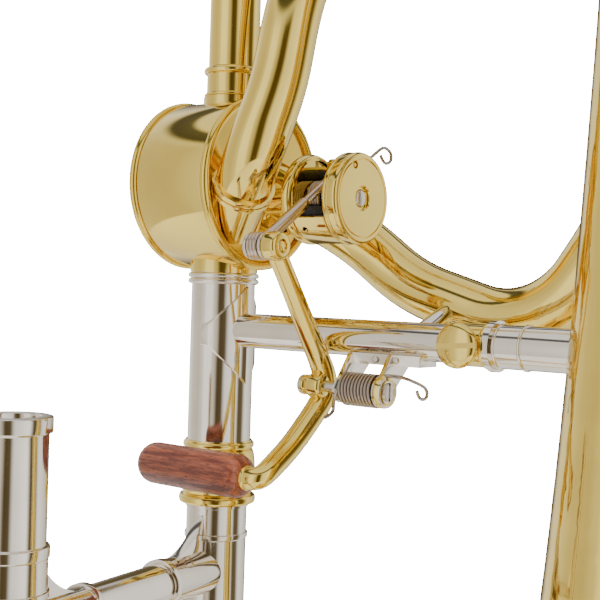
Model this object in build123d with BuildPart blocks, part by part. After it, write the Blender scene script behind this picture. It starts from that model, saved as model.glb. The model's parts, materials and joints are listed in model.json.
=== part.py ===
"""Tenor trombone with a thumb valve, standing on the tip of its hand slide.

Millimetres, +Z up. The slide tube that carries the valve runs up the Z axis, and the origin is where that
axis meets the floor under the slide's rubber tip. +X points along the bell brace towards the bell, and
the slide's mouthpiece tube lies towards -Y. Heights are given from the floor, or from the axis of the
valve drum where that is plainer.
"""
import os
from math import cos, radians, sin, sqrt

from build123d import *

os.makedirs("parts", exist_ok=True)

# ------------------------------------------------------------------ driving sizes
VALVE_Z = 867.0            # height of the valve drum's axis above the floor
RUN = 0.05                 # running clearance, on the radius, of pieces that turn or slide
GAP = 0.30                 # air between neighbouring pieces that must not rub

# hand slide
SLIDE_SPACING = 87.0       # between the axes of the two slide tubes
SLIDE_TURN = 8.0           # degrees that the slide's plane is turned from -Y towards +X
INNER_R = 7.15             # inner slide tube, outside
INNER_WALL = 0.25
STOCKING_R = 7.40          # thicker lower end of the inner tube, on which the slide runs
STOCKING_LENGTH = 110.0
OUTER_WALL = 0.40
BARREL_R = 9.15            # cork barrel, outside
BARREL_WALL = 0.85
BARREL_LENGTH = 53.0
BARREL_TOP = VALVE_Z - 97.0
BARREL_RING = 0.45         # beads round the barrels stand this much proud
BARREL_REACH = 12.0        # how far the outer tube enters the barrel when the slide is closed
BOW_WALL = 0.50
BOW_TUBE_R = 8.10
TIP_HEIGHT = 6.0           # lowest point of the bow above the floor
TIP_R = 6.0
FERRULE_WALL = 0.70
HAND_BRACE_Z = 667.0
HAND_SLEEVE_LENGTH = 28.0
TOP_SLEEVE_LENGTH = 18.0
BRACE_R = 6.0              # cross tube of either slide brace
BRACE_SOCKET_R = 6.6
BRACE_SOCKET_LENGTH = 17.0
INNER_BRACE_Z = VALVE_Z - 116.0
BARREL_RING_Z = VALVE_Z - 106.5
BARREL_RING_HEIGHT = 1.6

# neckpipe and lock nut
NECK_R = 9.6
NECK_BORE = 7.0
NUT_R = 11.9
NUT_BOTTOM = VALVE_Z - 96.0
NUT_HEIGHT = 19.0

# valve
DRUM_R = 24.9
DRUM_BACK = -13.1
DRUM_FRONT = 12.4
PLATE = 1.2
BEAD_R = 1.4
ROTOR_R = 18.9
ROTOR_BACK = -10.9
ROTOR_FRONT = 10.2
ROTOR_Z = VALVE_Z - 5.2    # the rotor sits low in the drum
SPINDLE_R = 2.5
PORT_R = 7.0
STEM_R = 3.2               # neck that carries the stop housing
HOUSING_R = 12.9
HOUSING_BACK = 31.5
HOUSING_FRONT = 46.0
HOUSING_WALL = 1.3
FLANGE = 3.0               # back flange of the stop housing
WINDOW_START = 55.0        # the housing wall is open between these angles, from +Y towards +Z
WINDOW_END = 208.0
CAP_THICK = 4.9
ARM_X = 40.0
ARM_THICK = 3.2
ARM_REACH = 9.5            # crank radius of the stop arm
ARM_START = 94.0           # rest angle of the crank, from +Y towards +Z, in degrees

# main tubing
UPPER_X = 1.5              # the gooseneck stands a little off the neckpipe's axis
UPPER_R = 7.6
TUBE_WALL = 0.5
COLLAR_TOP = VALVE_Z + 26.0
GOOSENECK_TOP = VALVE_Z + 120.0
LEG_TOP = VALVE_Z + 216.0
LEG_R = 8.40
BOW_LEG_DEPTH = 82.0       # how far the tuning bow's legs enter at rest
STAY_R = 3.2
BELL_X = 132.0

# bell
BELL_RIM_Z = VALVE_Z - 290.0
BELL_LENGTH = 410.0
BELL_WALL = 0.7
RIM_WIRE_R = 1.6

# valve tubing
F_R = 8.15
F_Y = 25.0
F_LEFT_X = 30.0
F_RIGHT_X = 118.0
F_LEG_BOTTOM = VALVE_Z + 160.0
F_LEG_TOP = VALVE_Z + 262.0
F_LEG_R = 8.90
F_BOW_LEG_DEPTH = 88.0
PORT_Y = 11.0              # where the valve tubes leave the front plate, each side of the spindle
PORT_Z = 2.8
SLEEVE_LENGTH = 10.0
SLEEVE_WALL = 0.6

# bell brace
BB_Z = VALVE_Z - 43.7
BB_R = 5.15
BB_SLEEVE_START = 81.0
BB_SLEEVE_END = 93.0
BB_SLEEVE_R = BB_R + 0.95   # the sleeve's rings
BB_END_R = BB_R + 0.45
FOOT_THICK = 0.6
SCREW_X = 86.9
SCREW_R = 5.9
SCREW_SHANK_R = 2.0

# thumb lever
LEVER_X = 43.0
PIVOT_Y = -7.5
PIVOT_Z = VALVE_Z - 57.2
PIVOT_R = 1.6
BOSS_R = 4.2
LEVER_HALF = 2.0           # half width of the boss and the top eye along X
BALL_X = 37.8
BALL_PIN_R = 1.3
BALL_Y = -28.1
BALL_Z = VALVE_Z - 19.7
ROD_A = 2.9                # lever section, half axes
ROD_B = 2.8
KNEE_Y = -4.0              # the lever's knee beside the pivot
KNEE_RISE = 0.9            # its upper bend above the pivot's axis
KNEE_DROP = 4.0            # its lower bend below it
GRIP_Y = -31.0
GRIP_Z = VALVE_Z - 80.7
GRIP_R = 5.8
GRIP_START = 0.6
GRIP_END = 38.2
GRIP_HOLE = 6.0            # how far the lever's end enters the grip
LUG_LEFT = 50.8
LUG_RIGHT = 63.8
LUG_THICK = 1.6
LUG_END = 66.4             # the right lug is thickened to here by a barrel
LUG_R = 4.0
LUG_BARREL_R = 4.25
SPRING_R = 4.6
SPRING_WIRE = 1.1

# mouthpiece receiver
RECEIVER_LENGTH = 34.0
RECEIVER_R = 8.6
RECEIVER_BORE = 6.35       # takes a large shank

# water key
KEY_LENGTH = 44.0

# ------------------------------------------------------------------ places worked out from them
OUTER_BORE = STOCKING_R + RUN
OUTER_R = OUTER_BORE + OUTER_WALL
BARREL_BOTTOM = BARREL_TOP - BARREL_LENGTH
OUTER_TOP = BARREL_BOTTOM + BARREL_REACH
BARREL_BORE = OUTER_R + GAP
BOW_R = SLIDE_SPACING / 2
BOW_Z = TIP_HEIGHT + BOW_TUBE_R + BOW_R
BOW_FERRULE_LENGTH = 26.0
NECK_TOP = VALVE_Z - 26.5
FACE_X = DRUM_FRONT + PLATE
LEG_BORE = LEG_R - TUBE_WALL
BOW_LEG_R = LEG_BORE - RUN
F_LEG_BORE = F_LEG_R - TUBE_WALL
F_BOW_LEG_R = F_LEG_BORE - RUN
MAIN_BOW_R = (BELL_X - UPPER_X) / 2
MAIN_BOW_Z = LEG_TOP + 12.0
F_BOW_R = (F_RIGHT_X - F_LEFT_X) / 2
F_BOW_Z = F_LEG_TOP + 14.0
HOUSING_CAP = HOUSING_FRONT + CAP_THICK

AX = (sin(radians(SLIDE_TURN)), -cos(radians(SLIDE_TURN)), 0)
SLIDE = Plane(origin=(0, 0, 0), x_dir=AX, z_dir=(0, 0, 1))
SIDE = Plane(origin=(0, 0, 0), x_dir=AX, z_dir=SLIDE.y_dir.reverse())
BOTH_TUBES = [(0, 0), (SLIDE_SPACING, 0)]


def along_x(x, y=0.0, z=0.0):
    """A plane facing +X whose own x runs along +Y and own y along +Z."""
    return Plane(origin=(x, y, z), x_dir=(0, 1, 0), z_dir=(1, 0, 0))


def slide_level(height):
    """The slide's own plane at a height: x runs from the neck tube to the mouthpiece tube."""
    return SLIDE.offset(height)


def across_slide(distance, height):
    """A plane facing from the neck tube towards the mouthpiece tube."""
    start = (AX[0] * distance, AX[1] * distance, height)
    return Plane(origin=start, x_dir=(0, 0, 1), z_dir=AX)


def bell_radius(depth):
    """Outer radius of the bell at a depth inside its rim."""
    return 2973.0 / (depth + 40.0) ** 0.9 - 2.4 * depth / BELL_LENGTH


# ------------------------------------------------------------------ hand slide, fixed inner half
with BuildPart() as inner_slide_tubes:
    with BuildSketch(slide_level(BOW_Z + 12)):
        with Locations(*BOTH_TUBES):
            Circle(STOCKING_R)
            Circle(INNER_R - INNER_WALL, mode=Mode.SUBTRACT)
    extrude(amount=STOCKING_LENGTH)
    with BuildSketch(slide_level(BOW_Z + 12 + STOCKING_LENGTH)):
        with Locations(*BOTH_TUBES):
            Circle(INNER_R)
            Circle(INNER_R - INNER_WALL, mode=Mode.SUBTRACT)
    extrude(amount=BARREL_TOP - BOW_Z - 12 - STOCKING_LENGTH)
inner_slide_tubes.part.label = "inner_slide_tubes"
export_step(inner_slide_tubes.part, "parts/inner_slide_tubes.step")

with BuildPart() as cork_barrels:
    with BuildSketch(slide_level(BARREL_BOTTOM)):
        with Locations(*BOTH_TUBES):
            Circle(BARREL_R)
            Circle(BARREL_BORE, mode=Mode.SUBTRACT)
    extrude(amount=BARREL_REACH + 16)
    with BuildSketch(slide_level(BARREL_BOTTOM + BARREL_REACH + 16)):
        with Locations(*BOTH_TUBES):
            Circle(BARREL_R)
            Circle(INNER_R, mode=Mode.SUBTRACT)
    extrude(amount=BARREL_LENGTH - BARREL_REACH - 16)
    for ring_z in (BARREL_BOTTOM, BARREL_RING_Z):
        with BuildSketch(slide_level(ring_z)):
            with Locations(*BOTH_TUBES):
                Circle(BARREL_R + BARREL_RING)
                Circle(BARREL_R - 0.2, mode=Mode.SUBTRACT)
        extrude(amount=BARREL_RING_HEIGHT)
cork_barrels.part.label = "cork_barrels"
export_step(cork_barrels.part, "parts/cork_barrels.step")

with BuildPart() as inner_slide_brace:
    with BuildSketch(across_slide(0, INNER_BRACE_Z)):
        Circle(BRACE_R)
        Circle(BRACE_R - 0.8, mode=Mode.SUBTRACT)
    extrude(amount=SLIDE_SPACING)
    with BuildSketch(slide_level(INNER_BRACE_Z - 20)):
        with Locations(*BOTH_TUBES):
            Circle(BARREL_R)
    extrude(amount=40, mode=Mode.SUBTRACT)
inner_slide_brace.part.label = "inner_slide_brace"
export_step(inner_slide_brace.part, "parts/inner_slide_brace.step")

# sockets that join the brace to each barrel, each with its bead and a gusset above it
GUSSET_TOP = INNER_BRACE_Z + 18
GUSSET_REACH = 15.0
GUSSET_HALF = 1.5
with BuildPart() as brace_joints:
    for start, toward in ((0, 1), (SLIDE_SPACING, -1)):
        with BuildSketch(across_slide(start, INNER_BRACE_Z)):
            Circle(BRACE_SOCKET_R)
        extrude(amount=toward * (BARREL_R + BRACE_SOCKET_LENGTH))
        with BuildSketch(across_slide(start + toward * (BARREL_R + BRACE_SOCKET_LENGTH), INNER_BRACE_Z)):
            Circle(BRACE_SOCKET_R + 0.6)
        extrude(amount=toward * 2.0)
    with BuildSketch(SIDE):
        for start, toward in ((0, 1), (SLIDE_SPACING, -1)):
            wall_x = start + toward * (BARREL_R - 0.5)
            tip_x = start + toward * (BARREL_R + GUSSET_REACH)
            with BuildLine():
                Line((wall_x, GUSSET_TOP), (wall_x, INNER_BRACE_Z))
                Line((wall_x, INNER_BRACE_Z), (tip_x, INNER_BRACE_Z))
                Line((tip_x, INNER_BRACE_Z), (tip_x, INNER_BRACE_Z + BRACE_R))
                SagittaArc((tip_x, INNER_BRACE_Z + BRACE_R), (wall_x, GUSSET_TOP), 2.6 * toward)
            make_face()
    extrude(amount=GUSSET_HALF, both=True)
    with BuildSketch(across_slide(0, INNER_BRACE_Z)):
        Circle(BRACE_R)
    extrude(amount=SLIDE_SPACING, mode=Mode.SUBTRACT)
    with BuildSketch(slide_level(INNER_BRACE_Z - 20)):
        with Locations(*BOTH_TUBES):
            Circle(BARREL_R)
    extrude(amount=60, mode=Mode.SUBTRACT)
    with BuildSketch(slide_level(BARREL_RING_Z)):
        with Locations(*BOTH_TUBES):
            Circle(BARREL_R + BARREL_RING)
    extrude(amount=BARREL_RING_HEIGHT, mode=Mode.SUBTRACT)
brace_joints.part.label = "brace_joints"
export_step(brace_joints.part, "parts/brace_joints.step")

# ------------------------------------------------------------------ mouthpiece receiver
with BuildPart() as mouthpiece_receiver:
    with BuildSketch(slide_level(BARREL_TOP)):
        with Locations((SLIDE_SPACING, 0)):
            Circle(RECEIVER_R)
            Circle(RECEIVER_BORE, mode=Mode.SUBTRACT)
    extrude(amount=RECEIVER_LENGTH)
    for ring_z, ring_h in ((BARREL_TOP, 3.0), (BARREL_TOP + RECEIVER_LENGTH - 4, 4.0)):
        with BuildSketch(slide_level(ring_z)):
            with Locations((SLIDE_SPACING, 0)):
                Circle(RECEIVER_R + 0.9)
                Circle(RECEIVER_R - 0.5, mode=Mode.SUBTRACT)
        extrude(amount=ring_h)
mouthpiece_receiver.part.label = "mouthpiece_receiver"
export_step(mouthpiece_receiver.part, "parts/mouthpiece_receiver.step")

# ------------------------------------------------------------------ hand slide, moving outer half
with BuildPart() as outer_slide_tubes:
    with BuildSketch(slide_level(BOW_Z)):
        with Locations(*BOTH_TUBES):
            Circle(OUTER_R)
            Circle(OUTER_BORE, mode=Mode.SUBTRACT)
    extrude(amount=OUTER_TOP - BOW_Z)
outer_slide_tubes.part.label = "outer_slide_tubes"
export_step(outer_slide_tubes.part, "parts/outer_slide_tubes.step")

# sleeves soldered round the outer tubes: a pair under the barrels, at the hand brace and above the bow
with BuildPart() as outer_slide_sleeves:
    for sleeve_z, sleeve_h in (
        (BARREL_BOTTOM - GAP - TOP_SLEEVE_LENGTH, TOP_SLEEVE_LENGTH),
        (BOW_Z, BOW_FERRULE_LENGTH),
    ):
        with BuildSketch(slide_level(sleeve_z)):
            with Locations(*BOTH_TUBES):
                Circle(OUTER_R + FERRULE_WALL)
                Circle(OUTER_R, mode=Mode.SUBTRACT)
        extrude(amount=sleeve_h)
        for bead_z in (sleeve_z, sleeve_z + sleeve_h - 2):
            with BuildSketch(slide_level(bead_z)):
                with Locations(*BOTH_TUBES):
                    Circle(OUTER_R + FERRULE_WALL + 0.5)
                    Circle(OUTER_R, mode=Mode.SUBTRACT)
            extrude(amount=2.0)
    with BuildSketch(slide_level(HAND_BRACE_Z - HAND_SLEEVE_LENGTH / 2)):
        with Locations(*BOTH_TUBES):
            Circle(OUTER_R + FERRULE_WALL)
            Circle(OUTER_R, mode=Mode.SUBTRACT)
    extrude(amount=HAND_SLEEVE_LENGTH)
outer_slide_sleeves.part.label = "outer_slide_sleeves"
export_step(outer_slide_sleeves.part, "parts/outer_slide_sleeves.step")

with BuildPart() as hand_brace:
    with BuildSketch(across_slide(0, HAND_BRACE_Z)):
        Circle(BRACE_R)
        Circle(BRACE_R - 0.8, mode=Mode.SUBTRACT)
    extrude(amount=SLIDE_SPACING)
    for start, toward in ((0, 1), (SLIDE_SPACING, -1)):
        with BuildSketch(across_slide(start, HAND_BRACE_Z)):
            Circle(BRACE_SOCKET_R)
            Circle(BRACE_R - 0.8, mode=Mode.SUBTRACT)
        extrude(amount=toward * (OUTER_R + 8))
    with BuildSketch(slide_level(HAND_BRACE_Z - 20)):
        with Locations(*BOTH_TUBES):
            Circle(OUTER_R + FERRULE_WALL)
    extrude(amount=40, mode=Mode.SUBTRACT)
hand_brace.part.label = "hand_brace"
export_step(hand_brace.part, "parts/hand_brace.step")

with BuildPart() as slide_bow:
    with BuildLine(SIDE) as bow_line:
        ThreePointArc((0, BOW_Z), (BOW_R, BOW_Z - BOW_R), (SLIDE_SPACING, BOW_Z))
    with BuildSketch(slide_level(BOW_Z)):
        Circle(BOW_TUBE_R)
        Circle(BOW_TUBE_R - BOW_WALL, mode=Mode.SUBTRACT)
    sweep(path=bow_line.line)
slide_bow.part.label = "slide_bow"
export_step(slide_bow.part, "parts/slide_bow.step")

BOW_FOOT = (BOW_R * AX[0], BOW_R * AX[1])
with BuildPart() as tip_socket:
    with BuildSketch(Plane(origin=(*BOW_FOOT, 2.5), z_dir=(0, 0, 1))):
        Circle(TIP_R + 1.0)
        Circle(TIP_R, mode=Mode.SUBTRACT)
    extrude(amount=7.5)
    with BuildLine(SIDE) as bow_cut:
        ThreePointArc((0, BOW_Z), (BOW_R, BOW_Z - BOW_R), (SLIDE_SPACING, BOW_Z))
    with BuildSketch(slide_level(BOW_Z)):
        Circle(BOW_TUBE_R)
    sweep(path=bow_cut.line, mode=Mode.SUBTRACT)
tip_socket.part.label = "tip_socket"
export_step(tip_socket.part, "parts/tip_socket.step")

with BuildPart() as slide_tip:
    with BuildSketch(Plane(origin=(*BOW_FOOT, 0), z_dir=(0, 0, 1))):
        Circle(TIP_R)
    extrude(amount=TIP_HEIGHT)
    chamfer(slide_tip.faces().sort_by(Axis.Z)[0].edges(), 1.2)
slide_tip.part.label = "slide_tip"
export_step(slide_tip.part, "parts/slide_tip.step")

# water key: a nipple on the bow, a saddle, the sprung lever with its cork
KEY_ANGLE = 205.0          # where on the bow the nipple stands, degrees round from the mouthpiece tube
KEY_X = BOW_R + BOW_R * cos(radians(KEY_ANGLE))
KEY_Z = BOW_Z + BOW_R * sin(radians(KEY_ANGLE))
KEY_OUT = SLIDE.y_dir.reverse()
NIPPLE_LENGTH = 3.4
KEY_CORK = 2.2


def key_plane(out):
    """A plane on the water nipple's axis, the given distance from the bow's centre line."""
    spot = SLIDE.from_local_coords((KEY_X, 0, KEY_Z))
    return Plane(origin=spot + KEY_OUT * out, x_dir=(0, 0, 1), z_dir=KEY_OUT)


with BuildPart() as water_nipple:
    with BuildSketch(key_plane(BOW_TUBE_R - 2.2)):
        Circle(3.2)
        Circle(1.8, mode=Mode.SUBTRACT)
    extrude(amount=2.2 + NIPPLE_LENGTH)
    with BuildLine(SIDE) as nipple_cut:
        ThreePointArc((0, BOW_Z), (BOW_R, BOW_Z - BOW_R), (SLIDE_SPACING, BOW_Z))
    with BuildSketch(slide_level(BOW_Z)):
        Circle(BOW_TUBE_R)
    sweep(path=nipple_cut.line, mode=Mode.SUBTRACT)
water_nipple.part.label = "water_nipple"
export_step(water_nipple.part, "parts/water_nipple.step")

KEY_PIVOT_OUT = BOW_TUBE_R + 5.2
KEY_PIVOT_RISE = 20.0
KEY_ARM_THICK = 1.8
KEY_ARM_OUT = BOW_TUBE_R + NIPPLE_LENGTH + KEY_CORK + KEY_ARM_THICK / 2 + 0.1 - KEY_PIVOT_OUT
KEY_TURN = Vector(AX)
KEY_PIVOT = SLIDE.from_local_coords((KEY_X, 0, KEY_Z + KEY_PIVOT_RISE)) + KEY_OUT * KEY_PIVOT_OUT
with BuildPart() as water_key_saddle:
    with BuildSketch(Plane(origin=KEY_PIVOT - KEY_TURN * 5.0, x_dir=(0, 0, 1), z_dir=AX)):
        with BuildLine():
            Polyline((-3.5, 0), (-4.5, KEY_PIVOT_OUT), (4.5, KEY_PIVOT_OUT), (3.5, 0))
            ThreePointArc((3.5, 0), (0, -3.5), (-3.5, 0))
        make_face()
    extrude(amount=1.6)
    with BuildSketch(Plane(origin=KEY_PIVOT + KEY_TURN * 3.4, x_dir=(0, 0, 1), z_dir=AX)):
        with BuildLine():
            Polyline((-3.5, 0), (-4.5, KEY_PIVOT_OUT), (4.5, KEY_PIVOT_OUT), (3.5, 0))
            ThreePointArc((3.5, 0), (0, -3.5), (-3.5, 0))
        make_face()
    extrude(amount=1.6)
    with BuildSketch(Plane(origin=KEY_PIVOT - KEY_TURN * 5.6, x_dir=(0, 0, 1), z_dir=AX)):
        Circle(1.2)
    extrude(amount=11.2)
    with BuildSketch(slide_level(BOW_Z - 10)):
        Circle(OUTER_R + FERRULE_WALL + 0.5)
    extrude(amount=BOW_FERRULE_LENGTH + 30, mode=Mode.SUBTRACT)
water_key_saddle.part.label = "water_key_saddle"
export_step(water_key_saddle.part, "parts/water_key_saddle.step")

with BuildPart() as water_key_lever:
    with BuildSketch(Plane(origin=KEY_PIVOT - KEY_TURN * 3.1, x_dir=(0, 0, 1), z_dir=AX)):
        Circle(2.6)
        Circle(1.2 + RUN, mode=Mode.SUBTRACT)
    extrude(amount=6.2)
    with BuildSketch(Plane(origin=KEY_PIVOT - KEY_TURN * 1.6, x_dir=(0, 0, 1), z_dir=AX)):
        with Locations(((KEY_LENGTH - KEY_PIVOT_RISE) / 2, KEY_ARM_OUT)):
            Rectangle(KEY_LENGTH + KEY_PIVOT_RISE, KEY_ARM_THICK)
        Circle(1.2 + RUN, mode=Mode.SUBTRACT)
    extrude(amount=3.2)
    with BuildSketch(key_plane(BOW_TUBE_R + NIPPLE_LENGTH + KEY_CORK)):
        Circle(4.4)
    extrude(amount=2.2)
    with BuildSketch(Plane(origin=KEY_PIVOT + Vector(0, 0, KEY_LENGTH - 3)
                           + KEY_OUT * (KEY_ARM_OUT - KEY_ARM_THICK / 2), x_dir=(0, 0, 1), z_dir=KEY_OUT)):
        Ellipse(7.0, 4.6)
    extrude(amount=KEY_ARM_THICK)
water_key_lever.part.label = "water_key_lever"
export_step(water_key_lever.part, "parts/water_key_lever.step")

with BuildPart() as water_key_cork:
    with BuildSketch(key_plane(BOW_TUBE_R + NIPPLE_LENGTH)):
        Circle(3.8)
    extrude(amount=KEY_CORK)
water_key_cork.part.label = "water_key_cork"
export_step(water_key_cork.part, "parts/water_key_cork.step")

# slide lock: a ring on the mouthpiece-side barrel with a thumb tab
with BuildPart() as slide_lock_ring:
    with BuildSketch(slide_level(BARREL_BOTTOM + 2.5)):
        with Locations((SLIDE_SPACING, 0)):
            Circle(BARREL_R + RUN + 1.3)
            Circle(BARREL_R + RUN, mode=Mode.SUBTRACT)
    extrude(amount=10)
    with BuildSketch(slide_level(BARREL_BOTTOM + 2.5)):
        with Locations((SLIDE_SPACING, BARREL_R + 3.2)):
            RectangleRounded(4.6, 5.0, 1.2)
    extrude(amount=10)
slide_lock_ring.part.label = "slide_lock_ring"
export_step(slide_lock_ring.part, "parts/slide_lock_ring.step")

# ------------------------------------------------------------------ neckpipe, lock nut, brace foot
with BuildPart() as neckpipe:
    with BuildSketch(Plane.XY.offset(BARREL_TOP)):
        Circle(NECK_R)
        Circle(NECK_BORE, mode=Mode.SUBTRACT)
    extrude(amount=NECK_TOP - BARREL_TOP)
neckpipe.part.label = "neckpipe"
export_step(neckpipe.part, "parts/neckpipe.step")

with BuildPart() as neckpipe_ferrule:
    with BuildSketch(Plane.XY.offset(NECK_TOP - 3.6)):
        Circle(NECK_R + 0.4)
        Circle(NECK_R, mode=Mode.SUBTRACT)
    extrude(amount=3.6)
    for bead_z in (NECK_TOP - 3.4, NECK_TOP - 1.6):
        with BuildSketch(Plane.XY.offset(bead_z)):
            Circle(NECK_R + 1.0)
            Circle(NECK_R, mode=Mode.SUBTRACT)
        extrude(amount=1.3)
neckpipe_ferrule.part.label = "neckpipe_ferrule"
export_step(neckpipe_ferrule.part, "parts/neckpipe_ferrule.step")

with BuildPart() as bell_lock_nut:
    with BuildSketch(Plane.XZ):
        with BuildLine():
            Line((NECK_R + RUN, NUT_BOTTOM), (NUT_R - 0.6, NUT_BOTTOM))
            ThreePointArc((NUT_R - 0.6, NUT_BOTTOM), (NUT_R - 0.1, NUT_BOTTOM + 1.1),
                          (NUT_R - 0.8, NUT_BOTTOM + 2.2))
            ThreePointArc((NUT_R - 0.8, NUT_BOTTOM + 2.2), (NUT_R, NUT_BOTTOM + 0.55 * NUT_HEIGHT),
                          (NUT_R - 0.9, NUT_BOTTOM + NUT_HEIGHT))
            Line((NUT_R - 0.9, NUT_BOTTOM + NUT_HEIGHT), (NECK_R + RUN, NUT_BOTTOM + NUT_HEIGHT))
            Line((NECK_R + RUN, NUT_BOTTOM + NUT_HEIGHT), (NECK_R + RUN, NUT_BOTTOM))
        make_face()
    revolve(axis=Axis.Z)
bell_lock_nut.part.label = "bell_lock_nut"
export_step(bell_lock_nut.part, "parts/bell_lock_nut.step")

# a thin diamond of sheet wrapped half round the neckpipe carries the bell brace; its edges are straight
# on the flat sheet, so they run as parts of a helix once it is wrapped
FOOT_UP = 13.2
FOOT_DOWN = 16.0
FOOT_SIDE = (FOOT_UP - FOOT_DOWN) / 2
FOOT_RADIUS = NECK_R + FOOT_THICK


def wrapped(share, tip, side):
    """A point on the diamond's edge, the given share of the way from its tip to its side corner."""
    return (side * FOOT_RADIUS * sin(radians(90 * share)), tip + share * (FOOT_SIDE - tip))


EDGE_SHARES = [0, 0.2, 0.4, 0.6, 0.8, 1]
with BuildPart() as brace_foot:
    with BuildSketch(Plane.XY.offset(BB_Z - FOOT_DOWN)):
        Circle(FOOT_RADIUS)
        Circle(NECK_R, mode=Mode.SUBTRACT)
    extrude(amount=FOOT_UP + FOOT_DOWN)
    with BuildSketch(along_x(0, 0, BB_Z)):
        with BuildLine():
            Polyline(*[wrapped(share, -FOOT_DOWN, 1) for share in EDGE_SHARES],
                     *[wrapped(share, FOOT_UP, 1) for share in reversed(EDGE_SHARES[:-1])],
                     *[wrapped(share, FOOT_UP, -1) for share in EDGE_SHARES[1:]],
                     *[wrapped(share, -FOOT_DOWN, -1) for share in reversed(EDGE_SHARES[1:-1])],
                     close=True)
        make_face()
    extrude(amount=FOOT_RADIUS + 1, mode=Mode.INTERSECT)
brace_foot.part.label = "brace_foot"
export_step(brace_foot.part, "parts/brace_foot.step")

# ------------------------------------------------------------------ bell brace
with BuildPart() as bell_brace_tube:
    with BuildSketch(along_x(0, 0, BB_Z)):
        Circle(BB_R)
        Circle(BB_R - 1.0, mode=Mode.SUBTRACT)
    extrude(amount=BB_SLEEVE_END)
    with BuildSketch(Plane.XY.offset(BB_Z - 20)):
        Circle(NECK_R + FOOT_THICK)
    extrude(amount=40, mode=Mode.SUBTRACT)
bell_brace_tube.part.label = "bell_brace_tube"
export_step(bell_brace_tube.part, "parts/bell_brace_tube.step")

with BuildPart() as bell_brace_sleeve:
    with BuildSketch(along_x(BB_SLEEVE_START, 0, BB_Z)):
        Circle(BB_SLEEVE_R)
        Circle(BB_R, mode=Mode.SUBTRACT)
    extrude(amount=BB_SLEEVE_END - BB_SLEEVE_START)
    with BuildSketch(Plane(origin=(SCREW_X, 0, BB_Z), x_dir=(1, 0, 0), z_dir=(0, -1, 0))):
        Circle(SCREW_SHANK_R + RUN)
    extrude(amount=BB_SLEEVE_R + 2, mode=Mode.SUBTRACT)
bell_brace_sleeve.part.label = "bell_brace_sleeve"
export_step(bell_brace_sleeve.part, "parts/bell_brace_sleeve.step")

BELL_DEPTH_AT_BRACE = BB_Z - BELL_RIM_Z
SADDLE_HALF = 8.0          # half height of the saddle that joins the brace to the bell stem
with BuildPart() as bell_brace_end:
    with BuildSketch(along_x(BB_SLEEVE_END, 0, BB_Z)):
        Circle(BB_SLEEVE_R + 0.5)
        Circle(BB_END_R - 1.0, mode=Mode.SUBTRACT)
    extrude(amount=1.8)
    with BuildSketch(along_x(BB_SLEEVE_END + 1.8, 0, BB_Z)):
        Circle(BB_END_R)
        Circle(BB_END_R - 1.0, mode=Mode.SUBTRACT)
    extrude(amount=BELL_X - BB_SLEEVE_END - 1.8)
    with BuildSketch(Plane.XY.offset(BB_Z - SADDLE_HALF)):
        with Locations((BELL_X, 0)):
            Circle(bell_radius(BELL_DEPTH_AT_BRACE - SADDLE_HALF))
    with BuildSketch(Plane.XY.offset(BB_Z + SADDLE_HALF)):
        with Locations((BELL_X, 0)):
            Circle(bell_radius(BELL_DEPTH_AT_BRACE + SADDLE_HALF))
    loft(mode=Mode.SUBTRACT)
bell_brace_end.part.label = "bell_brace_end"
export_step(bell_brace_end.part, "parts/bell_brace_end.step")

with BuildPart() as brace_screw:
    with BuildSketch(Plane(origin=(SCREW_X, -BB_SLEEVE_R - GAP, BB_Z), x_dir=(1, 0, 0), z_dir=(0, -1, 0))):
        Circle(SCREW_R)
    extrude(amount=3.6)
    fillet(brace_screw.faces().sort_by(Axis.Y)[0].edges(), 1.6)
    with BuildSketch(Plane(origin=(SCREW_X, -BB_R - 0.1, BB_Z), x_dir=(1, 0, 0), z_dir=(0, -1, 0))):
        Circle(SCREW_SHANK_R)
    extrude(amount=BB_SLEEVE_R + GAP - BB_R)
    with BuildSketch(Plane(origin=(SCREW_X, -BB_SLEEVE_R - GAP - 2.2, BB_Z), x_dir=(1, 0, 0),
                           z_dir=(0, -1, 0))):
        Rectangle(3 * SCREW_R, 1.6)
    extrude(amount=4, mode=Mode.SUBTRACT)
brace_screw.part.label = "brace_screw"
export_step(brace_screw.part, "parts/brace_screw.step")

# ------------------------------------------------------------------ valve
PORTS = [(-PORT_Y, ROTOR_Z - PORT_Z), (PORT_Y, ROTOR_Z + PORT_Z)]

with BuildPart() as valve_casing:
    with BuildSketch(along_x(DRUM_BACK, 0, VALVE_Z)):
        Circle(DRUM_R)
        with Locations((0, ROTOR_Z - VALVE_Z)):
            Circle(ROTOR_R + RUN, mode=Mode.SUBTRACT)
    extrude(amount=DRUM_FRONT - DRUM_BACK)
    with BuildSketch(Plane.XY.offset(VALVE_Z - 40)):
        Circle(PORT_R)
    extrude(amount=40, mode=Mode.SUBTRACT)
    with BuildSketch(Plane.XY.offset(VALVE_Z)):
        with Locations((UPPER_X, 0)):
            Circle(PORT_R)
    extrude(amount=40, mode=Mode.SUBTRACT)
valve_casing.part.label = "valve_casing"
export_step(valve_casing.part, "parts/valve_casing.step")

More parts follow.
